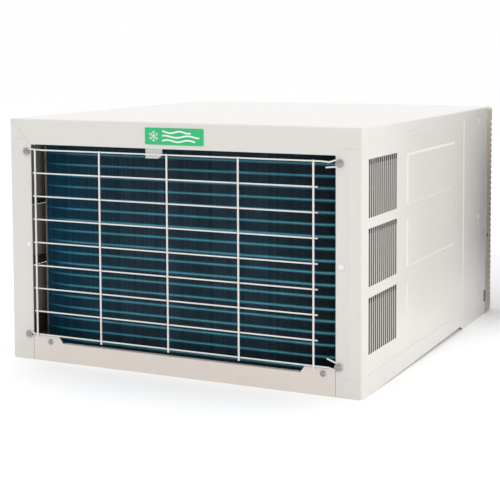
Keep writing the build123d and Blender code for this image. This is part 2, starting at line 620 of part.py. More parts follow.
with BuildPart() as vane_link:
    link_middle = VANE_PIVOT_DEPTH - LINK_ARM + 0.6
    block((upright_vane_xs[0] - 10, upright_vane_xs[-1] + 10), (link_middle - 5, link_middle + 5), (345, 348))
    for x in upright_vane_xs:
        slot_depths = (VANE_PIVOT_DEPTH - LINK_ARM - 1.7, VANE_PIVOT_DEPTH - LINK_ARM + 4.6)
        block((x - 1.8, x + 1.8), slot_depths, (340, 350), Mode.SUBTRACT)
finish(vane_link, "vane_link")

# ================================================================ evaporator
EVAPORATOR_X = (-298.0, 178.0)
EVAPORATOR_DEPTHS = (668.0, 712.0)
EVAPORATOR_Z = (32.0, 296.0)
EVAPORATOR_TUBES = 12
EVAPORATOR_PITCH = 21.0
with BuildPart() as evaporator_fins:
    block(EVAPORATOR_X, EVAPORATOR_DEPTHS, EVAPORATOR_Z)
finish(evaporator_fins, "evaporator_fins")

with BuildPart() as evaporator_end_plates:
    plate_depths = (EVAPORATOR_DEPTHS[0] - 3, EVAPORATOR_DEPTHS[1] + 3)
    for x, out in ((EVAPORATOR_X[0], -SHEET), (EVAPORATOR_X[1], SHEET)):
        block((x, x + out), plate_depths, (EVAPORATOR_Z[0] - 1, EVAPORATOR_Z[1] + 2))
finish(evaporator_end_plates, "evaporator_end_plates")

with BuildPart() as evaporator_return_bends:
    for x, side in ((EVAPORATOR_X[0] - SHEET, -1), (EVAPORATOR_X[1] + SHEET, 1)):
        for depth in (EVAPORATOR_DEPTHS[0] + 11, EVAPORATOR_DEPTHS[1] - 11):
            for n in range(EVAPORATOR_TUBES // 2):
                z = EVAPORATOR_Z[0] + EVAPORATOR_PITCH * (2 * n + 1)
                with Locations(Plane(origin=(x, behind(depth), z), x_dir=(0, 0, 1), z_dir=(0, side, 0))):
                    Torus(EVAPORATOR_PITCH / 2, TUBE_R, major_angle=180, align=None)
finish(evaporator_return_bends, "evaporator_return_bends")

with BuildPart() as drain_tray:
    block((-312, 192), (660, 724), (PAN_TOP + 0.2, EVAPORATOR_Z[0] - 1))
    block((-310, 190), (662, 722), (PAN_TOP + 12, EVAPORATOR_Z[0] + 10), Mode.SUBTRACT)
    for x in (-299, 179):
        block((x - 1, x + 1), (666, 714), (PAN_TOP + 11, EVAPORATOR_Z[0] - 1))
finish(drain_tray, "drain_tray")

# ================================================================ compressor and pipework
COMPRESSOR_X = -225.0
COMPRESSOR_DEPTH = 322.0
COMPRESSOR_R = 60.0
COMPRESSOR_LOW = 34.0
COMPRESSOR_HIGH = 286.0
with BuildPart() as compressor_shell:
    round_z(COMPRESSOR_X, COMPRESSOR_DEPTH, COMPRESSOR_R, (COMPRESSOR_LOW, COMPRESSOR_HIGH))
    fillet(compressor_shell.edges().filter_by(GeomType.CIRCLE), 26)
    for z in (74, 244):
        round_z(COMPRESSOR_X, COMPRESSOR_DEPTH, COMPRESSOR_R + 1.5, (z, z + 3))
    round_z(COMPRESSOR_X, COMPRESSOR_DEPTH, 7, (COMPRESSOR_HIGH - 2, COMPRESSOR_HIGH + 8))
finish(compressor_shell, "compressor_shell")

with BuildPart() as compressor_mount:
    with BuildSketch(Plane(origin=(COMPRESSOR_X, behind(COMPRESSOR_DEPTH), COMPRESSOR_LOW - 4))):
        Circle(52)
        with PolarLocations(64, 3, start_angle=30):
            Circle(13)
        make_hull()
        with PolarLocations(64, 3, start_angle=30):
            Circle(5.2, mode=Mode.SUBTRACT)
    extrude(amount=4)
finish(compressor_mount, "compressor_mount")

with BuildPart() as compressor_grommets:
    with Locations((COMPRESSOR_X, behind(COMPRESSOR_DEPTH), PAN_TOP)):
        with PolarLocations(64, 3, start_angle=30):
            Cylinder(11, COMPRESSOR_LOW - 4 - PAN_TOP, align=(Align.CENTER, Align.CENTER, Align.MIN))
            Cylinder(4.2, 60, mode=Mode.SUBTRACT)
finish(compressor_grommets, "compressor_grommets")

with BuildPart() as compressor_bolts:
    with Locations((COMPRESSOR_X, behind(COMPRESSOR_DEPTH), PAN_TOP)):
        with PolarLocations(64, 3, start_angle=30):
            Cylinder(4, 32, align=(Align.CENTER, Align.CENTER, Align.MIN))
    with Locations((COMPRESSOR_X, behind(COMPRESSOR_DEPTH), COMPRESSOR_LOW)):
        with PolarLocations(64, 3, start_angle=30):
            Cylinder(7.5, 6, align=(Align.CENTER, Align.CENTER, Align.MIN))
finish(compressor_bolts, "compressor_bolts")

with BuildPart() as terminal_cover:
    block((COMPRESSOR_X + 64, COMPRESSOR_X + 86), (300, 344), (190, 236))
    fillet(terminal_cover.edges().filter_by(Axis.X), 5)
finish(terminal_cover, "terminal_cover")

ACCUMULATOR_DEPTH = 228.0
with BuildPart() as accumulator:
    round_z(COMPRESSOR_X, ACCUMULATOR_DEPTH, 26, (90, 240))
    fillet(accumulator.edges().filter_by(GeomType.CIRCLE), 14)
    with BuildSketch(Plane(origin=(COMPRESSOR_X, behind(ACCUMULATOR_DEPTH), 165))):
        Rectangle(14, 64, align=(Align.CENTER, Align.MAX))
        Circle(25.8, mode=Mode.SUBTRACT)
        with Locations((0, -(COMPRESSOR_DEPTH - ACCUMULATOR_DEPTH))):
            Circle(COMPRESSOR_R + 0.2, mode=Mode.SUBTRACT)
    extrude(amount=14)
finish(accumulator, "accumulator")


def pipe_route(points, bend_r):
    """Pipe centre line through the given (x, depth, z) points, its corners rounded."""
    with BuildLine() as route:
        FilletPolyline(*[(x, behind(depth), z) for x, depth, z in points], radius=bend_r)
    return route.wires()[0]


discharge_path = pipe_route(
    ((COMPRESSOR_X, COMPRESSOR_DEPTH, COMPRESSOR_HIGH + 8.5), (COMPRESSOR_X, COMPRESSOR_DEPTH, 340),
     (-290, 250, 340), (-290, 150, 340), (-290, 150, 300)), 16
)
with BuildPart() as discharge_line:
    with BuildSketch(Plane(origin=discharge_path @ 0, z_dir=discharge_path % 0)):
        Circle(5)
    sweep(path=discharge_path)
finish(discharge_line, "discharge_line")

suction_path = pipe_route(
    ((COMPRESSOR_X, ACCUMULATOR_DEPTH, 240.2), (COMPRESSOR_X, ACCUMULATOR_DEPTH, 310), (-298, 280, 310),
     (-298, 440, 310), (-298, 440, 90), (-298, 640, 90)), 18
)
with BuildPart() as suction_line:
    with BuildSketch(Plane(origin=suction_path @ 0, z_dir=suction_path % 0)):
        Circle(7)
    sweep(path=suction_path)
finish(suction_line, "suction_line")

capillary_path = pipe_route(
    ((-292, 193, 60), (-292, 430, 60), (-280, 460, 80), (-280, 640, 80)), 16
)
with BuildPart() as capillary_tube:
    with BuildSketch(Plane(origin=capillary_path @ 0, z_dir=capillary_path % 0)):
        Circle(1.6)
    sweep(path=capillary_path)
    round_y(-292, 60, 10, (196, 150))
finish(capillary_tube, "capillary_tube")

with BuildPart() as top_brace:
    block((SHAFT_X - 18, SHAFT_X + 18), (SHROUD_BACK + 2, BULKHEAD_DEPTH + SHEET), (404, 405.6))
    for side in (-1, 1):
        web = (SHAFT_X + side * 18, SHAFT_X + side * 16.4)
        block(web, (SHROUD_BACK + 20, BULKHEAD_DEPTH - 20), (405.6, 412))
finish(top_brace, "top_brace")

# ================================================================ controls
CONTROL_BOX = ((200.0, 300.0), (600.0, 738.0), (120.0, 292.0))
with BuildPart() as control_box:
    block(*CONTROL_BOX)
    (x0, x1), (d0, d1), (z0, z1) = CONTROL_BOX
    block((x0 + SHEET, x1 - SHEET), (d0 + SHEET, d1 + 5), (z0 + SHEET, z1 - SHEET), Mode.SUBTRACT)
finish(control_box, "control_box")

with BuildPart() as run_capacitor:
    round_z(250, 640, 22, (150, 236))
    fillet(run_capacitor.edges().filter_by(GeomType.CIRCLE), 2)
    for offset in (-7, 7):
        block((250 + offset - 3, 250 + offset + 3), (639.6, 640.4), (236, 244))
finish(run_capacitor, "run_capacitor")

with BuildPart() as capacitor_clamp:
    round_z(250, 640, 23.4, (185, 200))
    round_z(250, 640, 22.1, (180, 205), Mode.SUBTRACT)
    block((246, 254), (602, 617.5), (185, 200))
finish(capacitor_clamp, "capacitor_clamp")

PLATE_DEPTHS = (744.0, 746.0)
SWITCH_DEPTHS = (718.0, PLATE_DEPTHS[0])
STEM_R = 4.0
with BuildPart() as control_plate:
    block((NICHE[0] + 0.2, NICHE[1] - 0.2), PLATE_DEPTHS, (NICHE[2] + 0.2, NICHE[3] - 0.2))
    for z in KNOB_HEIGHTS:
        round_y(KNOB_X, z, STEM_R + 1, (740, 750), Mode.SUBTRACT)
    round_y(KNOB_X, VENT_Z, 1.6 + RUNNING_FIT, (740, 750), Mode.SUBTRACT)
    with BuildSketch(Plane(origin=(KNOB_X, behind(PLATE_DEPTHS[1]), 0), x_dir=(1, 0, 0), z_dir=(0, -1, 0))):
        for z in KNOB_HEIGHTS:
            with Locations((0, z)):
                with PolarLocations(31, 9, start_angle=-30, angular_range=240, endpoint=True):
                    Rectangle(5, 1.2)
    extrude(amount=0.3)
finish(control_plate, "control_plate")

for name, z in zip(("mode", "thermostat"), KNOB_HEIGHTS):
    with BuildPart() as switch_body:
        block((KNOB_X - 20, KNOB_X + 20), SWITCH_DEPTHS, (z - 20, z + 20))
        chamfer(switch_body.edges().filter_by(Axis.Y), 4)
        round_y(KNOB_X, z, STEM_R + RUNNING_FIT, (722, 750), Mode.SUBTRACT)
    finish(switch_body, f"{name}_switch_body")
    with BuildPart() as knob:
        round_y(KNOB_X, z, 22, (747, 757))
        with Locations((KNOB_X, behind(761), z)):
            Box(9, 10, 38)
        fillet(knob.edges().filter_by(Axis.Y), 2)
        round_y(KNOB_X, z, STEM_R, (724, 750))
    finish(knob, f"{name}_knob")

# ================================================================ front panel and grille

def panel_profile(half, front, corner):
    """Plan outline of the panel: square at the back, rounded where the sides meet the face."""
    y_front = behind(front)
    y_back = behind(PANEL_BACK - (0 if half == PANEL_HALF else 5))
    with BuildLine() as outline:
        FilletPolyline(
            (-half, y_back), (-half, y_front), (half, y_front), (half, y_back), radius=corner
        )
        Line((half, y_back), (-half, y_back))
    return outline


with BuildPart() as panel_inside:
    with BuildSketch(Plane.XY.offset(PANEL_BOTTOM + PANEL_WALL)):
        add(panel_profile(PANEL_HALF - PANEL_WALL, DEPTH - PANEL_WALL, PANEL_CORNER_R - PANEL_WALL).line)
        make_face()
    extrude(amount=PANEL_TOP - PANEL_BOTTOM - 2 * PANEL_WALL)
    fillet(panel_inside.faces().sort_by(Axis.Z)[-1].edges().sort_by(Axis.Y)[:-1], PANEL_EDGE_R - PANEL_WALL)

with BuildPart() as front_panel:
    with BuildSketch(Plane.XY.offset(PANEL_BOTTOM)):
        add(panel_profile(PANEL_HALF, DEPTH, PANEL_CORNER_R).line)
        make_face()
    extrude(amount=PANEL_TOP - PANEL_BOTTOM)
    fillet(front_panel.faces().sort_by(Axis.Z)[-1].edges().sort_by(Axis.Y)[:-1], PANEL_EDGE_R)
    fillet(front_panel.faces().sort_by(Axis.Z)[0].edges().sort_by(Axis.Y)[:-1], PANEL_FOOT_R)
    add(panel_inside.part, mode=Mode.SUBTRACT)
    # Lip along the top and both sides that steps inside the end of the sheet cabinet.
    lip_out = WIDTH / 2 - SHEET - 0.4
    lip_top = PANEL_TOP - PANEL_WALL
    block((-300, 300), LIP_DEPTHS, (lip_top, lip_top + LIP))
    for side in (-1, 1):
        block((side * (lip_out - LIP), side * lip_out), LIP_DEPTHS, (60, 400))
        block((side * lip_out, side * (lip_out + 1)), (PANEL_BACK + 1, LIP_DEPTHS[1]), (60, 400))
    # Sleeves behind the three openings.
    for (x0, x1, z0, z1), back in ((OUTLET, 735), (INTAKE, 752), (NICHE, 740)):
        block((x0 - 2, x1 + 2), (back, DEPTH - 1), (z0 - 2, z1 + 2))
    for x0, x1, z0, z1 in (OUTLET, INTAKE, NICHE):
        block((x0, x1), (730, DEPTH + 5), (z0, z1), Mode.SUBTRACT)
    # Pivot holes of the level vanes and of the intake grille.
    for n in range(FLAT_VANES):
        z = (OUTLET[2] + OUTLET[3]) / 2 + (n - 1) * FLAT_VANE_PITCH
        round_x(751, z, VANE_PIN_R + RUNNING_FIT, (OUTLET[0] - 5, OUTLET[1] + 5), Mode.SUBTRACT)
    round_x(764, INTAKE[2] + 9, 2.5 + RUNNING_FIT, (INTAKE[0] - 5, INTAKE[1] + 5), Mode.SUBTRACT)
    # Hole under the cord gland.
    round_z(*GLAND_PLACE, GLAND_HOLE_R, (0, 10), Mode.SUBTRACT)
    # Ribs cut across both corners, and a seat for each side screw.
    for side in (-1, 1):
        round_x(*PANEL_SCREW, 4.3, (side * (PANEL_HALF - SCREW_SEAT), side * (PANEL_HALF + 2)), Mode.SUBTRACT)
        arc = radians(RIB_TURN)
        rib_x = side * (PANEL_HALF - PANEL_CORNER_R * (1 - cos(arc)))
        rib_y = behind(DEPTH - PANEL_CORNER_R * (1 - sin(arc)))
        rib_places = [
            Location((rib_x, rib_y, 40 + n * RIB_PITCH), (0, 0, side * -RIB_TURN)) for n in range(33)
        ]
        with Locations(*rib_places):
            Box(2 * RIB_CUT, 24, 4.8, mode=Mode.SUBTRACT)
finish(front_panel, "front_panel")

for n in range(FLAT_VANES):
    z = (OUTLET[2] + OUTLET[3]) / 2 + (n - 1) * FLAT_VANE_PITCH
    with BuildPart() as level_vane:
        with BuildSketch(Plane(origin=(OUTLET[0] + 1, behind(751), z), x_dir=(0, 1, 0), z_dir=(1, 0, 0))):
            SlotOverall(22, 2.4)
            Circle(3)
        extrude(amount=OUTLET[1] - OUTLET[0] - 2)
        round_x(751, z, VANE_PIN_R, (OUTLET[0] - 1.8, OUTLET[1] + 1.8))
    finish(level_vane, f"level_vane_{n + 1}")

GRILLE = (INTAKE[0] + 2, INTAKE[1] - 2, INTAKE[2] + 2, INTAKE[3] - 2)
GRILLE_DEPTHS = (756.0, 769.0)
GRILLE_BORDER = 9.0
slat_count = int((GRILLE[3] - GRILLE[2] - 2 * GRILLE_BORDER) / RIB_PITCH)
with BuildPart() as intake_grille:
    block(GRILLE[:2], GRILLE_DEPTHS, GRILLE[2:])
    block(
        (GRILLE[0] + GRILLE_BORDER, GRILLE[1] - GRILLE_BORDER), (750, 775),
        (GRILLE[2] + GRILLE_BORDER, GRILLE[3] - GRILLE_BORDER), Mode.SUBTRACT,
    )
    grille_middle = ((GRILLE[0] + GRILLE[1]) / 2, behind(762.5), (GRILLE[2] + GRILLE[3]) / 2)
    slat_places = [
        (grille_middle[0], grille_middle[1], GRILLE[2] + GRILLE_BORDER + (n + 0.75) * RIB_PITCH)
        for n in range(slat_count)
    ]
    with Locations(*slat_places):
        Box(GRILLE[1] - GRILLE[0] - 10, 11, 2, rotation=(-28, 0, 0))
    with Locations(*[(grille_middle[0] + n * 92, grille_middle[1], grille_middle[2]) for n in range(-2, 3)]):
        Box(3, 11, GRILLE[3] - GRILLE[2] - 10)
    round_x(764, INTAKE[2] + 9, 2.5, (INTAKE[0] - 1.8, GRILLE[0] + 5))
    round_x(764, INTAKE[2] + 9, 2.5, (INTAKE[1] + 1.8, GRILLE[1] - 5))
finish(intake_grille, "intake_grille")

FILTER = (GRILLE[0] + 4, GRILLE[1] - 4, GRILLE[2] + 8, GRILLE[3] - 4)
with BuildPart() as air_filter:
    block(FILTER[:2], (749, 755.6), FILTER[2:])
    for cut in ((745, 751.6), (752.8, 760)):
        block((FILTER[0] + 8, FILTER[1] - 8), cut, (FILTER[2] + 8, FILTER[3] - 8), Mode.SUBTRACT)
finish(air_filter, "air_filter")

with BuildPart() as panel_side_screws:
    for side in (-1, 1):
        round_x(*PANEL_SCREW, 4, (side * (PANEL_HALF - SCREW_SEAT), side * (PANEL_HALF - 0.2)))
        with Locations((side * PANEL_HALF, behind(PANEL_SCREW[0]), PANEL_SCREW[1])):
            Box(1.6, 5, 0.9, mode=Mode.SUBTRACT)
            Box(1.6, 0.9, 5, mode=Mode.SUBTRACT)
finish(panel_side_screws, "panel_side_screws")

with BuildPart() as cord_gland:
    round_z(*GLAND_PLACE, 9, (PANEL_BOTTOM + PANEL_WALL, PANEL_BOTTOM + PANEL_WALL + 8))
    round_z(*GLAND_PLACE, GLAND_HOLE_R, (0, 30), Mode.SUBTRACT)
finish(cord_gland, "cord_gland")
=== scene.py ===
# %% [markdown]
# # A window air conditioner, dressed for a studio picture
#
# The metalwork arrives as a fixed frame: every CAD node is already in place, in metres, with the
# outdoor end facing +Y. This notebook gives each node a finish, rebuilds the pieces that plain CAD
# solids can only hint at (the stack of thin fins, its tubes, the screw heads, the badge) and sets
# up a white studio round it. New pieces ride on the same bodies as the nodes they belong to, so
# they follow when the chassis slides out or the grille tips open.

# %% Load the frame
import json
from math import cos, pi, radians, sin

import bpy
import numpy as np
from mathutils import Matrix, Vector


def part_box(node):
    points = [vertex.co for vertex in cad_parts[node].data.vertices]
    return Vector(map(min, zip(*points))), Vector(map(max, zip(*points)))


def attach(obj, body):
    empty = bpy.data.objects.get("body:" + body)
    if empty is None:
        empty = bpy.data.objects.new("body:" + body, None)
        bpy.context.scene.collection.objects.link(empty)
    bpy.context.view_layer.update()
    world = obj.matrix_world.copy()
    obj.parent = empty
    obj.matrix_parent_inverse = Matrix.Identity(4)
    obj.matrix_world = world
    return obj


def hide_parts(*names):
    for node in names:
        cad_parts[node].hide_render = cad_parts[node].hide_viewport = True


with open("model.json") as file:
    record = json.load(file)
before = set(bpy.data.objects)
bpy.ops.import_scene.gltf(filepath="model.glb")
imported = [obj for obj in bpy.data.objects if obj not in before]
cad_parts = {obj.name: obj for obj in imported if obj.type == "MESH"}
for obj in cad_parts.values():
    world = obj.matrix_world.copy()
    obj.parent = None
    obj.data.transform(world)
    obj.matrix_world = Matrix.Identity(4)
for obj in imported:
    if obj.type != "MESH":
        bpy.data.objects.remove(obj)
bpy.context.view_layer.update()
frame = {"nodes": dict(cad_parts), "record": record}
MM = 0.001
nodes = frame["nodes"]
random = np.random.default_rng(7)

# %% [markdown]
# ## Where things are
#
# Positions are read from the frame, never typed in. The rear face of the cabinet is the outer
# side of the bottom rail, and most small pieces are placed a little in front of or behind it.

# %% Places read from the frame
REAR_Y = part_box("rear_bottom_rail")[1].y
EMBOSS_HEIGHT = 1.4 * MM
TOP_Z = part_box("outer_cabinet")[1].z
coil_low, coil_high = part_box("condenser_fins")
plate_low, plate_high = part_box("badge_plate")
print("rear face at y =", round(REAR_Y, 4), "coil from", coil_low[:], "to", coil_high[:])

# %% [markdown]
# ## Mesh helpers
#
# Every new piece is a grid of points: rings carried along a path, or a height over a flat patch.
# Positions are computed as whole numpy arrays, and the helpers below number the corners of all
# the quads of a grid at once; only finished face lists are joined one after another.

# %% Grid faces and new pieces
def grid_quads(rows, columns, close_rows=False, close_columns=False):
    """Corner numbers of the quads in a grid stored row by row.

    Point (i, j) has number i * columns + j. A closed direction joins its last line to its first.
    """
    i = np.arange(rows if close_rows else rows - 1)[:, None]
    j = np.arange(columns if close_columns else columns - 1)[None, :]
    i_next, j_next = (i + 1) % rows, (j + 1) % columns
    this_row, next_row = i * columns, i_next * columns
    corners = (this_row + j, this_row + j_next, next_row + j_next, next_row + j)
    return np.stack([c.ravel() for c in corners], axis=1)


def smooth_step(value, low, high):
    """0 below low, 1 above high, and an S-curve between them."""
    t = np.clip((value - low) / (high - low), 0, 1)
    return t * t * (3 - 2 * t)


def caps(rows, columns):
    """Two end caps, as polygons, for a grid of rings."""
    first = np.arange(columns)[::-1]
    return [first.tolist(), (first[::-1] + (rows - 1) * columns).tolist()]


def add_piece(name, points, faces, body, slot_name, smooth=True):
    """Puts a mesh made of points (n, 3) and faces into the scene, riding on a CAD body."""
    mesh = bpy.data.meshes.new(name)
    mesh.from_pydata(np.asarray(points, float).reshape(-1, 3).tolist(), [], faces)
    mesh.validate()
    mesh.update()
    mesh.polygons.foreach_set("use_smooth", np.full(len(mesh.polygons), smooth))
    piece = bpy.data.objects.new(name, mesh)
    bpy.context.scene.collection.objects.link(piece)
    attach(piece, body)
    return piece


def joined(parts):
    """The points and faces of one mesh made of several (points, faces), corners renumbered."""
    starts = np.cumsum([0] + [len(points) for points, _ in parts]).tolist()
    faces = [[v + start for v in f] for (_, some), start in zip(parts, starts) for f in some]
    return np.concatenate([points for points, _ in parts]), faces


# %% [markdown]
# ## Shader groups shared by several finishes
#
# Real coatings are never one flat tone. Three effects come back on many surfaces, so each is a
# node group: a fine skin (the orange peel of powder coat or the spark texture of a mould), a
# slow mottle that shifts colour and roughness by a few percent, and dust that settles low down.
# Each group only puts out values; the shader that uses them stays in the material.

# %% Node group helpers
def new_group(name, inputs, outputs):
    """An empty shader node group with float inputs {name: default} and float outputs."""
    group = bpy.data.node_groups.new(name, "ShaderNodeTree")
    vector = group.interface.new_socket("Vector", in_out="INPUT", socket_type="NodeSocketVector")
    vector.hide_value = True
    for label, default in inputs.items():
        socket = group.interface.new_socket(label, in_out="INPUT", socket_type="NodeSocketFloat")
        socket.default_value = default
    for label in outputs:
        group.interface.new_socket(label, in_out="OUTPUT", socket_type="NodeSocketFloat")
    inside = group.nodes.new("NodeGroupInput")
    outside = group.nodes.new("NodeGroupOutput")
    return group, inside, outside


def add_node(tree, kind, **values):
    """A node of this kind with its properties or unlinked inputs set by name."""
    node = tree.nodes.new(kind)
    for label, value in values.items():
        if hasattr(node, label):
            setattr(node, label, value)
        else:
            node.inputs[label.replace("_", " ")].default_value = value
    return node


# %% Fine skin: even, small-scale relief
skin, skin_in, skin_out = new_group("Fine skin", {"Scale": 900.0}, ["Height"])
skin_noise = add_node(skin, "ShaderNodeTexNoise", Detail=3.0, Roughness=0.55)
skin.links.new(skin_in.outputs["Vector"], skin_noise.inputs["Vector"])
skin.links.new(skin_in.outputs["Scale"], skin_noise.inputs["Scale"])
skin.links.new(skin_noise.outputs["Fac"], skin_out.inputs["Height"])

# %% Mottle: slow patches, centred on a half
mottle, mottle_in, mottle_out = new_group("Mottle", {"Scale": 14.0, "Contrast": 1.0}, ["Value"])
mottle_noise = add_node(mottle, "ShaderNodeTexNoise", Detail=1.5, Roughness=0.45)
mottle_centre = add_node(mottle, "ShaderNodeMath", operation="SUBTRACT")
mottle_centre.inputs[1].default_value = 0.5
mottle_gain = add_node(mottle, "ShaderNodeMath", operation="MULTIPLY")
mottle_back = add_node(mottle, "ShaderNodeMath", operation="ADD", use_clamp=True)
mottle_back.inputs[1].default_value = 0.5
mottle.links.new(mottle_in.outputs["Vector"], mottle_noise.inputs["Vector"])
mottle.links.new(mottle_in.outputs["Scale"], mottle_noise.inputs["Scale"])
mottle.links.new(mottle_noise.outputs["Fac"], mottle_centre.inputs[0])
mottle.links.new(mottle_centre.outputs[0], mottle_gain.inputs[0])
mottle.links.new(mottle_in.outputs["Contrast"], mottle_gain.inputs[1])
mottle.links.new(mottle_gain.outputs[0], mottle_back.inputs[0])
mottle.links.new(mottle_back.outputs[0], mottle_out.inputs["Value"])

# %% Low dust: strongest at the floor, broken up by noise
dust, dust_in, dust_out = new_group("Low dust", {"Reach": 0.12, "Amount": 0.3}, ["Mask"])
dust_split = add_node(dust, "ShaderNodeSeparateXYZ")
dust_fall = add_node(dust, "ShaderNodeMapRange", clamp=True)
dust_fall.inputs["To Min"].default_value = 1.0
dust_fall.inputs["To Max"].default_value = 0.0
dust_noise = add_node(dust, "ShaderNodeTexNoise", Scale=22.0, Detail=6.0, Roughness=0.65)
dust_mix = add_node(dust, "ShaderNodeMath", operation="MULTIPLY")
dust_scale = add_node(dust, "ShaderNodeMath", operation="MULTIPLY", use_clamp=True)
dust.links.new(dust_in.outputs["Vector"], dust_split.inputs[0])
dust.links.new(dust_split.outputs["Z"], dust_fall.inputs["Value"])
dust.links.new(dust_in.outputs["Reach"], dust_fall.inputs["From Max"])
dust.links.new(dust_in.outputs["Vector"], dust_noise.inputs["Vector"])
dust.links.new(dust_fall.outputs["Result"], dust_mix.inputs[0])
dust.links.new(dust_noise.outputs["Fac"], dust_mix.inputs[1])
dust.links.new(dust_mix.outputs[0], dust_scale.inputs[0])
dust.links.new(dust_in.outputs["Amount"], dust_scale.inputs[1])
dust.links.new(dust_scale.outputs[0], dust_out.inputs["Mask"])

# %% [markdown]
# Inside the shell the colour is darkened as painted shade, so the wall seen through the rear
# opening and the backs of the louvre blades come out dull and dark. The mask is one wherever a
# point lies deeper than the sheet's outer skin, following its rounded bends.

# %% Painted shade inside the sheet-metal shell
BEND_OUTSIDE_R = 3.5 * MM
SKIN_DEPTH = 0.6 * MM
inside_shade_mask, shell_in, shell_out = new_group("Inside shell shade", {}, ["Mask"])
shell_fold = add_node(inside_shade_mask, "ShaderNodeVectorMath", operation="ABSOLUTE")
shell_shift = add_node(inside_shade_mask, "ShaderNodeVectorMath", operation="SUBTRACT")
SIDE_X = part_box("outer_cabinet")[1].x - EMBOSS_HEIGHT
shell_shift.inputs[1].default_value = [edge - BEND_OUTSIDE_R for edge in (SIDE_X, REAR_Y, TOP_Z)]
shell_clip = add_node(inside_shade_mask, "ShaderNodeVectorMath", operation="MAXIMUM")
shell_reach = add_node(inside_shade_mask, "ShaderNodeVectorMath", operation="LENGTH")
shell_test = add_node(inside_shade_mask, "ShaderNodeMath", operation="LESS_THAN")
shell_test.inputs[1].default_value = BEND_OUTSIDE_R - SKIN_DEPTH
inside_shade_mask.links.new(shell_in.outputs["Vector"], shell_fold.inputs[0])
inside_shade_mask.links.new(shell_fold.outputs[0], shell_shift.inputs[0])
inside_shade_mask.links.new(shell_shift.outputs[0], shell_clip.inputs[0])
inside_shade_mask.links.new(shell_clip.outputs[0], shell_reach.inputs[0])
inside_shade_mask.links.new(shell_reach.outputs["Value"], shell_test.inputs[0])
inside_shade_mask.links.new(shell_test.outputs[0], shell_out.inputs["Mask"])
print("shader groups:", [g.name for g in bpy.data.node_groups])


# %% [markdown]
# ## One builder for coats, plastics and metals
#
# All the finishes share a skeleton: a base colour pulled a little darker or lighter by the mottle,
# dust laid over it low down, roughness that follows the mottle, and a bump from the fine skin.
# What differs is set by name: how metallic, how glossy, how coarse the skin.

# %% The finish builder
DUST_COLOUR = (0.30, 0.27, 0.23, 1.0)
MOTTLE_CONTRAST = 1.6
COAT_ROUGHNESS = 0.12
GLOSS_SWING = 0.12  # roughness goes this share up and down with the mottle


def finish(name, colour, roughness, metallic=0.0, skin_scale=900.0, skin_depth=0.00002,
           skin_strength=0.25, mottle_scale=14.0, mottle_depth=0.06, dusty=0.0, coat=0.0,
           sheen=0.0, specular=0.5, inside_shade_colour=None, painted=None):
    """A material with mottled colour and roughness, a fine skin and optional low dust.

    A colour given for the inside of the shell takes over there, as painted shade. painted names a
    colour attribute on the mesh that multiplies the colour.
    """
    material = bpy.data.materials.new(name)
    material.use_nodes = True
    tree = material.node_tree
    shader = tree.nodes["Principled BSDF"]
    shader.inputs["Metallic"].default_value = metallic
    shader.inputs["Coat Weight"].default_value = coat
    shader.inputs["Coat Roughness"].default_value = COAT_ROUGHNESS
    shader.inputs["Sheen Weight"].default_value = sheen
    shader.inputs["Specular IOR Level"].default_value = specular
    place = tree.nodes.new("ShaderNodeTexCoord").outputs["Object"]

    patches = add_node(tree, "ShaderNodeGroup", node_tree=mottle)
    patches.inputs["Scale"].default_value = mottle_scale
    patches.inputs["Contrast"].default_value = MOTTLE_CONTRAST
    tree.links.new(place, patches.inputs["Vector"])
    tone = add_node(tree, "ShaderNodeMix", data_type="RGBA")
    tone.inputs[6].default_value = (*[c * (1 - mottle_depth) for c in colour], 1)
    tone.inputs[7].default_value = (*[min(1, c * (1 + mottle_depth)) for c in colour], 1)
    tree.links.new(patches.outputs["Value"], tone.inputs[0])
    base = tone.outputs[2]
    if painted:
        stored = add_node(tree, "ShaderNodeAttribute", attribute_name=painted)
        product = add_node(tree, "ShaderNodeMix", data_type="RGBA", blend_type="MULTIPLY")
        product.inputs[0].default_value = 1.0
        tree.links.new(base, product.inputs[6])
        tree.links.new(stored.outputs["Color"], product.inputs[7])
        base = product.outputs[2]
    # Inside the shell the colour is swapped for a dark one: painted shade.
    if inside_shade_colour:
        within = add_node(tree, "ShaderNodeGroup", node_tree=inside_shade_mask)
        tree.links.new(place, within.inputs["Vector"])
        inside_shade_mix = add_node(tree, "ShaderNodeMix", data_type="RGBA")
        inside_shade_mix.inputs[7].default_value = (*inside_shade_colour, 1)
        tree.links.new(within.outputs["Mask"], inside_shade_mix.inputs[0])
        tree.links.new(base, inside_shade_mix.inputs[6])
        base = inside_shade_mix.outputs[2]
    if dusty:
        film = add_node(tree, "ShaderNodeGroup", node_tree=dust)
        film.inputs["Amount"].default_value = dusty
        tree.links.new(place, film.inputs["Vector"])
        over = add_node(tree, "ShaderNodeMix", data_type="RGBA")
        over.inputs[7].default_value = DUST_COLOUR
        tree.links.new(film.outputs["Mask"], over.inputs[0])
        tree.links.new(base, over.inputs[6])
        base = over.outputs[2]
    tree.links.new(base, shader.inputs["Base Color"])

    gloss = add_node(tree, "ShaderNodeMapRange")
    gloss.inputs["To Min"].default_value = roughness * (1 - GLOSS_SWING)
    gloss.inputs["To Max"].default_value = min(1.0, roughness * (1 + GLOSS_SWING))
    tree.links.new(patches.outputs["Value"], gloss.inputs["Value"])
    tree.links.new(gloss.outputs["Result"], shader.inputs["Roughness"])

    relief = add_node(tree, "ShaderNodeGroup", node_tree=skin)
    relief.inputs["Scale"].default_value = skin_scale
    tree.links.new(place, relief.inputs["Vector"])
    bump = add_node(tree, "ShaderNodeBump", Strength=skin_strength, Distance=skin_depth)
    tree.links.new(relief.outputs["Height"], bump.inputs["Height"])
    tree.links.new(bump.outputs["Normal"], shader.inputs["Normal"])
    return material


# %% [markdown]
# ## The finishes
#
# The cabinet is powder coated steel in a warm white, its rail a slightly pinker batch. The
# guard is dipped in white plastic. The coil's fins carry a blue corrosion coating, nearly black
# between the fins and teal where the tubes' collars catch the light.

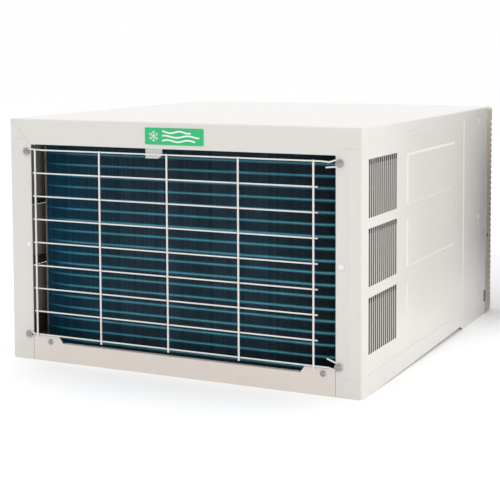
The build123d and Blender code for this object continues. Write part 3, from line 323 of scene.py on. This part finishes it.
# %% Finishes, one for each material slot
FINISHES = {
    # The cabinet's dark colour inside the shell is painted shade.
    "cabinet_paint": finish(
        "Cabinet powder coat", (0.735, 0.710, 0.670), 0.26, skin_scale=700, skin_strength=0.15,
        mottle_scale=4, mottle_depth=0.01, dusty=0.06, inside_shade_colour=(0.105, 0.092, 0.080)),
    "rail_paint": finish(
        "Rail powder coat", (0.765, 0.695, 0.635), 0.40, skin_scale=700, mottle_depth=0.025,
        dusty=0.10),
    "galvanised_sheet": finish(
        "Galvanised sheet", (0.55, 0.56, 0.57), 0.42, metallic=0.9, skin_scale=260,
        mottle_scale=75, mottle_depth=0.16, dusty=0.35),
    "guard_wire": finish(
        "White dip coating", (0.82, 0.79, 0.75), 0.32, skin_scale=420, coat=0.3,
        mottle_depth=0.03),
    "zinc_screw": finish(
        "Zinc plate", (0.38, 0.39, 0.39), 0.17, metallic=1.0, skin_scale=2200,
        mottle_scale=240, mottle_depth=0.12),
    "painted_screw": finish(
        "Painted screw", (0.90, 0.91, 0.92), 0.25, skin_scale=900, mottle_depth=0.03, coat=0.4),
    "badge_green": finish(
        "Badge green", (0.0, 0.49, 0.155), 0.28, skin_scale=1500, mottle_depth=0.03, coat=0.5),
    "clip_plastic": finish(
        "Clip plastic", (0.60, 0.62, 0.62), 0.5, skin_scale=1600, mottle_depth=0.04),
    "coated_fin": finish(
        "Blue coated fin", (0.9, 0.9, 0.9), 0.42, metallic=0.2, skin_scale=500,
        mottle_scale=26, mottle_depth=0.2, painted="coating"),
    "copper_tube": finish(
        "Drawn copper", (0.62, 0.31, 0.19), 0.34, metallic=1.0, skin_scale=900,
        mottle_scale=60, mottle_depth=0.22),
    "inner_paint": finish(
        "Grey primer", (0.20, 0.205, 0.21), 0.55, skin_scale=600, mottle_depth=0.07, dusty=0.4),
    "motor_black": finish(
        "Black enamel", (0.018, 0.018, 0.02), 0.30, skin_scale=420, mottle_depth=0.2,
        dusty=0.5, coat=0.3),
    "shaft_steel": finish(
        "Ground steel", (0.50, 0.51, 0.52), 0.25, metallic=1.0, skin_scale=1500,
        mottle_depth=0.1),
    "fan_plastic": finish(
        "Fan plastic", (0.022, 0.023, 0.025), 0.5, skin_scale=1200, mottle_depth=0.12, dusty=0.3),
    "duct_foam": finish(
        "Moulded foam", (0.78, 0.79, 0.79), 0.85, skin_scale=300, skin_depth=0.0003,
        skin_strength=0.6, mottle_depth=0.05),
    "rubber_black": finish(
        "Rubber", (0.016, 0.016, 0.017), 0.75, skin_scale=800, mottle_depth=0.2, sheen=0.2),
    "panel_plastic": finish(
        "Panel moulding", (0.56, 0.50, 0.43), 0.48, skin_scale=1800, skin_strength=0.35,
        mottle_depth=0.02, dusty=0.06),
    "vane_plastic": finish(
        "Vane moulding", (0.68, 0.65, 0.58), 0.44, skin_scale=1800, mottle_depth=0.03),
    "filter_mesh": finish(
        "Filter mesh", (0.10, 0.115, 0.125), 0.8, skin_scale=500, skin_depth=0.0004,
        skin_strength=0.8, mottle_scale=30, mottle_depth=0.25),
    "control_grey": finish(
        "Control moulding", (0.20, 0.205, 0.21), 0.5, skin_scale=1800, mottle_depth=0.04),
    "knob_plastic": finish(
        "Knob plastic", (0.66, 0.64, 0.58), 0.24, skin_scale=1800, mottle_depth=0.03, coat=0.3),
    "switch_black": finish(
        "Switch case", (0.015, 0.015, 0.016), 0.35, skin_scale=1200, mottle_depth=0.1),
    "capacitor_can": finish(
        "Drawn aluminium", (0.62, 0.63, 0.64), 0.3, metallic=1.0, skin_scale=900,
        mottle_scale=40, mottle_depth=0.1),
    "bare_fin": finish(
        "Bare aluminium fin", (0.9, 0.9, 0.9), 0.38, metallic=0.9, skin_scale=500,
        mottle_scale=26, mottle_depth=0.1, painted="coating"),
}
slot_of = {row["node"]: row["material_slot"] for row in frame["record"]["subparts"]}


def paint(mesh, colours):
    """Stores a colour (n, 3) for every point of a mesh in the attribute that coated pieces read."""
    attribute = mesh.attributes.new("coating", "FLOAT_COLOR", "POINT")
    values = np.concatenate([colours, np.ones((len(colours), 1))], axis=1)
    attribute.data.foreach_set("color", values.astype(np.float32).ravel())


for name, node in nodes.items():
    node.data.materials.clear()
    node.data.materials.append(FINISHES[slot_of[name]])
print("finishes given to", len(slot_of), "nodes")


def dress(piece, slot_name):
    """Gives a new piece the finish of a material slot."""
    piece.data.materials.append(FINISHES[slot_name])
    return piece


# %% [markdown]
# ## The condenser coil
#
# The coil is a stack of thin aluminium fins threaded on rows of tubes. Its plan is a straight
# run with a bend at both ends, so the fins fan out there. One function gives the point and the
# outward direction at any distance along the front face; fins and tubes both use it.

# %% The coil's plan
BEND_R = 170 * MM
BEND = radians(24.3)
COIL_THICK = 44 * MM
face_y = coil_high.y
flat_half = coil_high.x - BEND_R * sin(BEND)
bend_length = BEND_R * BEND
centre_y = face_y - BEND_R


def coil_plan(distance, depth):
    """Points at a distance along the front face, this deep inside, and the turn there.

    The middle is straight; past flat_half the path is an arc of radius BEND_R about
    (+-flat_half, centre_y), so x = flat_half + (BEND_R - depth) sin(turn) and
    y = centre_y + (BEND_R - depth) cos(turn), with turn = (distance - flat_half) / BEND_R.
    """
    side = np.sign(distance)
    turn = np.clip(np.abs(distance) - flat_half, 0, None) / BEND_R
    straight = np.minimum(np.abs(distance), flat_half)
    x = side * (straight + (BEND_R - depth) * np.sin(turn))
    y = centre_y + (BEND_R - depth) * np.cos(turn)
    return x, y, side * turn


coil_reach = flat_half + bend_length
print("coil path is", round(2 * coil_reach, 4), "m long")

# %% [markdown]
# Each fin is a closed strip, 0.2 mm thick, with a few slight dents along its height, because a
# real stack is never combed perfectly straight. All fins are one mesh.

# %% Fins
FIN_PITCH = 1.9 * MM
FIN_THICK = 0.2 * MM
FIN_ROWS = 26


def fin_stack(name, distances, plan, thick, low, high, wobble, colours, body, slot_name):
    """A closed thin strip at each distance along a plan, from the front face to the back.

    Each fin has its own colour, from the (count, 3) colours, made up to a third lighter or darker.
    """
    count = len(distances)
    heights = np.linspace(low, high, FIN_ROWS)
    lean = random.normal(0, wobble, (count, FIN_ROWS))
    lean[:, 1:-1] = (lean[:, :-2] + 2 * lean[:, 1:-1] + lean[:, 2:]) / 4
    corners = []
    for across, depth in ((-0.5, 0), (0.5, 0), (0.5, thick), (-0.5, thick)):
        shift = across * FIN_THICK + (lean if depth == 0 else lean * 0.2)
        x, y, turn = plan(distances[:, None] + np.zeros((count, FIN_ROWS)), depth)
        corners.append(np.stack([x + shift * np.cos(turn), y - shift * np.sin(turn),
                                 np.broadcast_to(heights, (count, FIN_ROWS))], axis=-1))
    points = np.stack(corners, axis=2)
    quads = grid_quads(FIN_ROWS, 4, close_columns=True)
    ends = np.array(caps(FIN_ROWS, 4))
    one = np.concatenate([quads, ends])
    faces = (one[None] + (np.arange(count) * FIN_ROWS * 4)[:, None, None]).reshape(-1, 4)
    stack = add_piece(name, points, faces.tolist(), body, slot_name, smooth=False)
    tone = 0.67 + 0.66 * random.random((count, 1))
    paint(stack.data, np.repeat(colours * tone, FIN_ROWS * 4, axis=0))
    return stack


fin_places = np.arange(-coil_reach + FIN_PITCH, coil_reach, FIN_PITCH)
FIN_LEAN = 0.22 * MM
NAVY = np.array((0.066, 0.135, 0.190))
DEEP_BLUE = np.array((0.020, 0.130, 0.230))
BLUE_START, BLUE_FADE = 0.10, 0.16  # metres towards +X where the coating turns bluer
# Towards -X the fins are coloured darker: painted shade at that end of the coil.
END_SHADE_START, END_SHADE_FADE, END_SHADE_BY = 0.14, 0.12, 0.4  # metres towards -X where it gets darker
bluer = np.clip((fin_places - BLUE_START) / BLUE_FADE, 0, 1)[:, None]
end_shade = 1 - END_SHADE_BY * np.clip((-END_SHADE_START - fin_places) / END_SHADE_FADE, 0, 1)[:, None]
coil_fins = fin_stack("coil_fins", fin_places, coil_plan, COIL_THICK, coil_low.z, coil_high.z,
                      FIN_LEAN, end_shade * (NAVY * (1 - bluer) + DEEP_BLUE * bluer), "chassis",
                      "coated_fin")
dress(coil_fins, "coated_fin")
print(len(fin_places), "fins,", len(coil_fins.data.polygons), "faces")

# %% [markdown]
# The tubes run from end plate to end plate, just inside the fins' front edges, where the teal
# coating catches the light. A ring of points is carried along the plan for every tube. Their
# lower sides are coloured darker, as painted shade.

# %% Tubes
TUBE_COUNT = 19
TUBE_PITCH = 19.6 * MM
TUBE_LOW = 27.4 * MM
TUBE_R = 3.6 * MM
TUBE_ROWS = (4.2 * MM, 22 * MM, 38 * MM)
# The darker teal is painted shade for the tubes' lower sides.
TEAL, SHADED_TEAL = (0.13, 0.74, 0.92), (0.02, 0.09, 0.12)
RING = 20
STEPS = 72


def tube_rows(name, heights, depths, plan, reach, radius, top_colour, underside_shade_colour, body, slot_name):
    """Tubes along a plan: at each step a ring (radius cos a outwards, radius sin a upwards).

    The colour runs from the top colour to the darker underside colour with (1 - sin a) / 2,
    steepened in the middle: painted shade on the tubes' lower sides.
    """
    steps = np.linspace(-reach, reach, STEPS)
    angle = np.linspace(0, 2 * pi, RING, endpoint=False)
    quads = grid_quads(STEPS, RING, close_columns=True).tolist() + caps(STEPS, RING)
    tubes = []
    for depth in depths:
        for z in heights:
            inward = depth - radius * np.cos(angle)[None, :]
            x, y, _ = plan(steps[:, None] + 0 * inward, inward)
            up = z + radius * np.sin(angle)[None, :] + 0 * x
            tubes.append((np.stack([x, y, up], axis=-1).reshape(-1, 3), quads))
    rows = add_piece(name, *joined(tubes), body, slot_name)
    underside_shade = smooth_step(0.5 - 0.5 * np.sin(angle), 0.3, 0.62)[:, None]
    shades = np.array(top_colour) * (1 - underside_shade) + np.array(underside_shade_colour) * underside_shade
    paint(rows.data, np.tile(shades, (STEPS * len(tubes), 1)))
    return rows


tube_heights = TUBE_LOW + TUBE_PITCH * np.arange(TUBE_COUNT)
coil_tubes = tube_rows("coil_tubes", tube_heights, TUBE_ROWS, coil_plan, coil_reach, TUBE_R,
                       TEAL, SHADED_TEAL, "chassis", "coated_fin")
dress(coil_tubes, "coated_fin")
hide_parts("condenser_fins")
print(len(tube_heights), "tube lines")

# %% [markdown]
# The evaporator behind the room side's filter is the same kind of stack, but flat, narrower and
# left uncoated: water runs down its bare fins into the tray. Its plan is a straight line, so the
# two functions above only need another rule for where a point lies.

# %% Evaporator
cold_low, cold_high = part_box("evaporator_fins")
cold_middle = (cold_low.x + cold_high.x) / 2
cold_reach = (cold_high.x - cold_low.x) / 2
COLD_COUNT, COLD_PITCH = 12, 21.0 * MM
COLD_TUBES = COLD_PITCH * np.arange(COLD_COUNT) + COLD_PITCH / 2
COLD_ROWS = (11 * MM, 33 * MM)
COLD_LEAN = 0.15 * MM
FIN_GREY = 0.58
# The darker copper is painted shade for the tubes' lower sides.
COPPER, SHADED_COPPER = (0.62, 0.31, 0.19), (0.40, 0.20, 0.12)


def flat_plan(distance, depth):
    """Points along the evaporator's room face, this deep behind it; the turn is nil everywhere."""
    x = cold_middle + distance + 0 * depth
    return x, cold_low.y + depth + 0 * distance, 0 * x


cold_places = np.arange(-cold_reach + FIN_PITCH, cold_reach, FIN_PITCH)
cold_fins = fin_stack("evaporator_stack", cold_places, flat_plan, cold_high.y - cold_low.y,
                      cold_low.z, cold_high.z, COLD_LEAN,
                      np.full((len(cold_places), 3), FIN_GREY), "chassis", "bare_fin")
dress(cold_fins, "bare_fin")
cold_tubes = tube_rows("evaporator_tubes", cold_low.z + COLD_TUBES, COLD_ROWS, flat_plan,
                       cold_reach, TUBE_R, COPPER, SHADED_COPPER, "chassis", "bare_fin")
dress(cold_tubes, "bare_fin")
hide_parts("evaporator_fins")
print(len(cold_places), "evaporator fins")

# %% [markdown]
# ## Screws and washers
#
# A pan head is a low dome with a cross pressed into it. The dome is a polar grid; the height
# drops inside the cross, and a smooth step keeps the recess walls from being torn. A washer is a
# closed loop of profile points spun round the screw's axis.

# %% Pan-head screws
def pan_head(radius, height, spin, rings=18, segments=72):
    """A dome over a disc with its rim on the sheet, less a cross recess, around (0, 0, 0).

    Out of the sheet (+Y) the dome stands height * (0.35 + 0.65 sqrt(1 - (r / radius)^2)).
    """
    r = radius * np.concatenate([[1.0, 1.0], np.linspace(0.985, 0.02, rings)])[:, None]
    a = np.linspace(0, 2 * pi, segments, endpoint=False)[None, :]
    x, z = r * np.cos(a), r * np.sin(a)
    dome = height * (0.35 + 0.65 * np.sqrt(np.clip(1 - (r / radius) ** 2, 0, 1))) + 0 * a
    dome[0] = 0
    dome[1] = height * 0.3
    along = np.abs(x * cos(spin) + z * sin(spin))
    across = np.abs(-x * sin(spin) + z * cos(spin))
    arm = radius * 0.11
    wing = radius * 0.62
    in_cross = np.maximum(
        (1 - smooth_step(along, arm, arm * 1.7)) * (1 - smooth_step(across, wing, wing * 1.15)),
        (1 - smooth_step(across, arm, arm * 1.7)) * (1 - smooth_step(along, wing, wing * 1.15)),
    )
    y = dome - in_cross * height * 0.55
    points = np.stack([x, y, z], axis=-1).reshape(-1, 3)
    rows = rings + 2
    quads = grid_quads(rows, segments, close_columns=True)
    return points, quads.tolist() + caps(rows, segments)


def washer(inner, outer, thick, segments=48):
    """A flat ring with softened edges, lying on y = 0."""
    soft = thick * 0.3
    profile = np.array([
        (inner, 0), (outer, 0), (outer, thick - soft), (outer - soft, thick),
        (inner + soft, thick), (inner, thick - soft),
    ])
    a = np.linspace(0, 2 * pi, segments, endpoint=False)
    r, y = profile[:, 0][:, None], profile[:, 1][:, None]
    points = np.stack([r * np.cos(a), y + 0 * a, r * np.sin(a)], axis=-1).reshape(-1, 3)
    quads = grid_quads(len(profile), segments, close_rows=True, close_columns=True)
    return points, quads.tolist()


SCREW_APART = 20 * MM
FIRST_SPIN, NEXT_SPIN = 0.4, 1.1  # radians: no two crosses in a row point the same way


def islands(node):
    """Centres (x, z) of a fastener node's separate screws.

    Everything within SCREW_APART of the first point left over is one screw, whose centre is
    (lowest + highest) / 2; then the next screw is looked for in what remains.
    """
    vertices = nodes[node].data.vertices
    left = np.empty(3 * len(vertices))
    vertices.foreach_get("co", left)
    left = left.reshape(-1, 3)[:, [0, 2]]
    found = []
    while len(left):
        near = np.hypot(*(left - left[0]).T) < SCREW_APART
        found.append((left[near].min(0) + left[near].max(0)) / 2)
        left = left[~near]
    return np.array(found)


def place_screws(name, node, radius, height, start_y, slot_name):
    """Pan heads on the places of a CAD fastener node."""
    heads = []
    for n, (x, z) in enumerate(islands(node)):
        points, faces = pan_head(radius, height, FIRST_SPIN + NEXT_SPIN * n)
        heads.append((points + (x, start_y, z), faces))
    return dress(add_piece(name, *joined(heads), "cabinet", slot_name), slot_name)


guard_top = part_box("guard_screws")[1].y
WASHER_HOLE_R, WASHER_R = 2.2 * MM, 6.5 * MM
WASHER_BACK = 2.8 * MM
WASHER_THICK = 1.0 * MM
GUARD_HEAD_R = 4.4 * MM
FLANGE_HEAD = (4.6 * MM, 1.8 * MM)  # radius and height
RAIL_HEAD = (5.0 * MM, 2.4 * MM)
guard_heads = place_screws("guard_screw_heads", "guard_screws", GUARD_HEAD_R,
                           guard_top - REAR_Y - WASHER_BACK - WASHER_THICK,
                           REAR_Y + WASHER_BACK + WASHER_THICK, "zinc_screw")
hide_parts("guard_screws")
flange_heads = place_screws("flange_screw_heads", "flange_screws", *FLANGE_HEAD, REAR_Y,
                            "painted_screw")
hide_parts("flange_screws")
rail_heads = place_screws("rail_screw_heads", "rail_screws", *RAIL_HEAD, REAR_Y, "zinc_screw")
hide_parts("rail_screws")

ring_points, ring_faces = washer(WASHER_HOLE_R, WASHER_R, WASHER_THICK)
loose = [(ring_points + (x, REAR_Y + WASHER_BACK, z), ring_faces)
         for x, z in islands("guard_screws")]
washers = add_piece("guard_washers", *joined(loose), "cabinet", "zinc_screw")
dress(washers, "zinc_screw")
print("guard screws with washers:", len(loose))

# %% [markdown]
# ## The badge
#
# A thin green plate with a softened edge, and white marks standing a fraction of a millimetre
# proud: a six-armed frost star and three wavy lines of moving air. The plate is a rounded
# rectangle carried inwards and outwards in small steps; a wave is a ribbon that follows a sine.

# %% Badge plate
def rounded_ring(half_x, half_z, corner, steps=9):
    """Outline of a rounded rectangle as four quarter circles joined by straight sides."""
    quarter = np.linspace(0, pi / 2, steps)
    ring = []
    for k, (sx, sz) in enumerate(((1, 1), (-1, 1), (-1, -1), (1, -1))):
        a = quarter + k * pi / 2
        ring.append(np.stack([sx * (half_x - corner) + corner * np.cos(a),
                              sz * (half_z - corner) + corner * np.sin(a)], axis=1))
    return np.concatenate(ring)


badge_x = (plate_low.x + plate_high.x) / 2
badge_z = (plate_low.z + plate_high.z) / 2
badge_half_x = (plate_high.x - plate_low.x) / 2
badge_half_z = (plate_high.z - plate_low.z) / 2
PLATE_THICK = 1.0 * MM
EDGE = 0.35 * MM
CORNER = 1.6 * MM
layers = [(0, 0), (0, PLATE_THICK - EDGE), (EDGE * 0.3, PLATE_THICK - EDGE * 0.3),
          (EDGE, PLATE_THICK)]
rings = []
for inset, out in layers:
    outline = rounded_ring(badge_half_x - inset, badge_half_z - inset, CORNER - inset)
    rings.append(np.stack([badge_x + outline[:, 0], np.full(len(outline), REAR_Y + out),
                           badge_z + outline[:, 1]], axis=1))
count = len(rings[0])
badge_faces = grid_quads(len(rings), count, close_columns=True).tolist() + caps(len(rings), count)
badge = add_piece("badge", np.concatenate(rings), badge_faces, "cabinet", "badge_green",
                  smooth=False)
dress(badge, "badge_green")
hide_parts("badge_plate")


# %% Frost star and air lines
def ribbon(path, width, out, thick):
    """A flat strip of this width along a path (n, 2) in the badge's plane, as a closed box."""
    step = np.gradient(path, axis=0)
    side = np.stack([-step[:, 1], step[:, 0]], axis=1)
    side /= np.linalg.norm(side, axis=1)[:, None]
    taper = width / 2 * np.ones(len(path))
    taper[[0, -1]] *= 0.45
    left, right = path + side * taper[:, None], path - side * taper[:, None]
    corners = []
    for edge, y in ((left, out), (right, out), (right, out + thick), (left, out + thick)):
        corners.append(np.stack([edge[:, 0], np.full(len(path), y), edge[:, 1]], axis=1))
    points = np.stack(corners, axis=1).reshape(-1, 3)
    return points, grid_quads(len(path), 4, close_columns=True).tolist() + caps(len(path), 4)


STAR_X = 38 * MM
ARM, TWIG, TWIG_START = 9.5 * MM, 3.4 * MM, 5.2 * MM
WAVE_START, WAVE_PITCH, WAVE_HEIGHT = 22 * MM, 7.2 * MM, 1.5 * MM
WAVES = ((62 * MM, 0.0), (70 * MM, 0.9), (54 * MM, 1.8))  # length and phase of each line
TURNS = 1.6  # whole waves in a line
STAR_WIDTH, WAVE_WIDTH = 1.5 * MM, 2.6 * MM
SUNK, RELIEF = 0.05 * MM, 0.33 * MM


def heading(turn):
    """Unit vector in the badge's plane at an angle."""
    return np.array((cos(turn), sin(turn)))


star = np.array((badge_x + STAR_X, badge_z))
strokes = []
for arm in range(6):
    turn = arm * pi / 3 + pi / 6
    strokes.append(star + heading(turn) * np.linspace(0, ARM, 4)[:, None])
    for side in (-1, 1):
        twig = heading(turn + side * pi / 4) * np.linspace(0, TWIG, 3)[:, None]
        strokes.append(star + heading(turn) * TWIG_START + twig)
marks = [(path, STAR_WIDTH) for path in strokes]
t = np.linspace(0, 1, 60)
for row, (length, phase) in enumerate(WAVES):
    height = badge_z + (row - 1) * WAVE_PITCH + WAVE_HEIGHT * np.sin(2 * pi * TURNS * t + phase)
    marks.append((np.stack([badge_x + WAVE_START - t * length, height], axis=1), WAVE_WIDTH))
ribbons = [ribbon(path, width, REAR_Y + PLATE_THICK - SUNK, RELIEF) for path, width in marks]
badge_marks = add_piece("badge_marks", *joined(ribbons), "cabinet", "guard_wire", smooth=False)
badge_white = finish("Badge white", (0.88, 0.90, 0.88), 0.3, mottle_depth=0.01)
badge_marks.data.materials.append(badge_white)
print("badge marks:", len(marks))

# %% [markdown]
# ## Studio
#
# A pale floor that meets a pale background, a wide overhead softbox, a side softbox on the
# louvred side and a white surround that is a little dimmer behind the camera, so the rear face
# reads darker than the top. Two black felt cards stand past the far end of the louvred side:
# semi-gloss paint seen at a slant mirrors the first, and the second keeps light off that end,
# which together give the flat sheet its soft dark end. The camera looks at the outdoor end from
# one side, a little above it, with a long lens shifted down so the upright edges stay upright.

# %% Floor and surround
def plain_material(name, colour, roughness, glow=0.0):
    """An even material for the studio's own things, which may give off a little white light."""
    material = bpy.data.materials.new(name)
    material.use_nodes = True
    inputs = material.node_tree.nodes["Principled BSDF"].inputs
    inputs["Base Color"].default_value = (*colour, 1)
    inputs["Roughness"].default_value = roughness
    inputs["Emission Color"].default_value = (1.0, 1.0, 1.0, 1)
    inputs["Emission Strength"].default_value = glow
    return material


def flat_sheet(name, corners, material):
    """One flat rectangle through four corners."""
    mesh = bpy.data.meshes.new(name)
    mesh.from_pydata(corners, [], [(0, 1, 2, 3)])
    mesh.materials.append(material)
    sheet = bpy.data.objects.new(name, mesh)
    bpy.context.scene.collection.objects.link(sheet)
    return sheet


FLOOR = 12.0
floor_paint = plain_material("Studio floor", (1.0, 1.0, 1.0), 0.9, glow=0.07)
floor_corners = [(-FLOOR, -FLOOR, 0), (FLOOR, -FLOOR, 0), (FLOOR, FLOOR, 0), (-FLOOR, FLOOR, 0)]
floor = flat_sheet("studio_floor", floor_corners, floor_paint)

BEHIND_OBJECT = 0.995
BEHIND_CAMERA = 0.745
world = bpy.data.worlds.new("White surround")
world.use_nodes = True
sky = world.node_tree
way = sky.nodes.new("ShaderNodeSeparateXYZ")
sky.links.new(sky.nodes.new("ShaderNodeTexCoord").outputs["Generated"], way.inputs[0])
fade = add_node(sky, "ShaderNodeMapRange", clamp=True, From_Min=-0.2, From_Max=0.9,
                To_Min=BEHIND_OBJECT, To_Max=BEHIND_CAMERA)
sky.links.new(way.outputs["Y"], fade.inputs["Value"])
sky.links.new(fade.outputs["Result"], sky.nodes["Background"].inputs["Strength"])
sky.nodes["Background"].inputs["Color"].default_value = (1.0, 1.0, 1.0, 1)
bpy.context.scene.world = world
bpy.context.scene.view_settings.view_transform = "Standard"


# %% Lights and dark cards
def softbox(name, place, target, size, power, colour=(1, 1, 1)):
    """A square area light at a place, aimed at a target."""
    lamp = bpy.data.lights.new(name, "AREA")
    lamp.shape = "SQUARE"
    lamp.size = size
    lamp.energy = power
    lamp.color = colour
    light = bpy.data.objects.new(name, lamp)
    bpy.context.scene.collection.objects.link(light)
    aim = (Vector(place) - Vector(target)).to_track_quat("Z", "Y").to_matrix().to_4x4()
    light.matrix_world = Matrix.Translation(place) @ aim
    return light


softbox("overhead_softbox", (0.2, 0.2, 3.2), (0, 0, 0.2), 3.4, 30, (0.94, 0.98, 1.05))
softbox("side_softbox", (-3.4, 0.9, 1.3), (-0.3, 0.1, 0.2), 1.8, 18)


def felt_card(name, start, end, low, high):
    """An upright felt card between two (x, y) points that shades and is mirrored but not seen."""
    corners = [(*start, low), (*end, low), (*end, high), (*start, high)]
    card = flat_sheet(name, corners, felt)
    card.visible_camera = False


felt = plain_material("Card felt", (0.02, 0.018, 0.018), 1.0)
felt_card("mirrored_card", (-0.70, -1.15), (-0.20, -1.15), 0.0, 0.42)
felt_card("shading_card", (-0.52, -0.95), (-0.50, -0.24), 0.0, 0.40)

# %% Camera
CAMERA_PLACE = (-1.018, REAR_Y + 1.805, 0.553)
YAW = radians(205.97)
TILT = radians(90 - 4.27)
ROLL = radians(-0.26)
lens = bpy.data.cameras.new("camera")
lens.lens = 90.94
lens.sensor_width = 36.0
lens.shift_y = -0.2236
camera = bpy.data.objects.new("camera", lens)
bpy.context.scene.collection.objects.link(camera)
camera.matrix_world = (Matrix.Translation(CAMERA_PLACE) @ Matrix.Rotation(YAW, 4, "Z")
                       @ Matrix.Rotation(TILT, 4, "X") @ Matrix.Rotation(ROLL, 4, "Z"))
bpy.context.scene.camera = camera
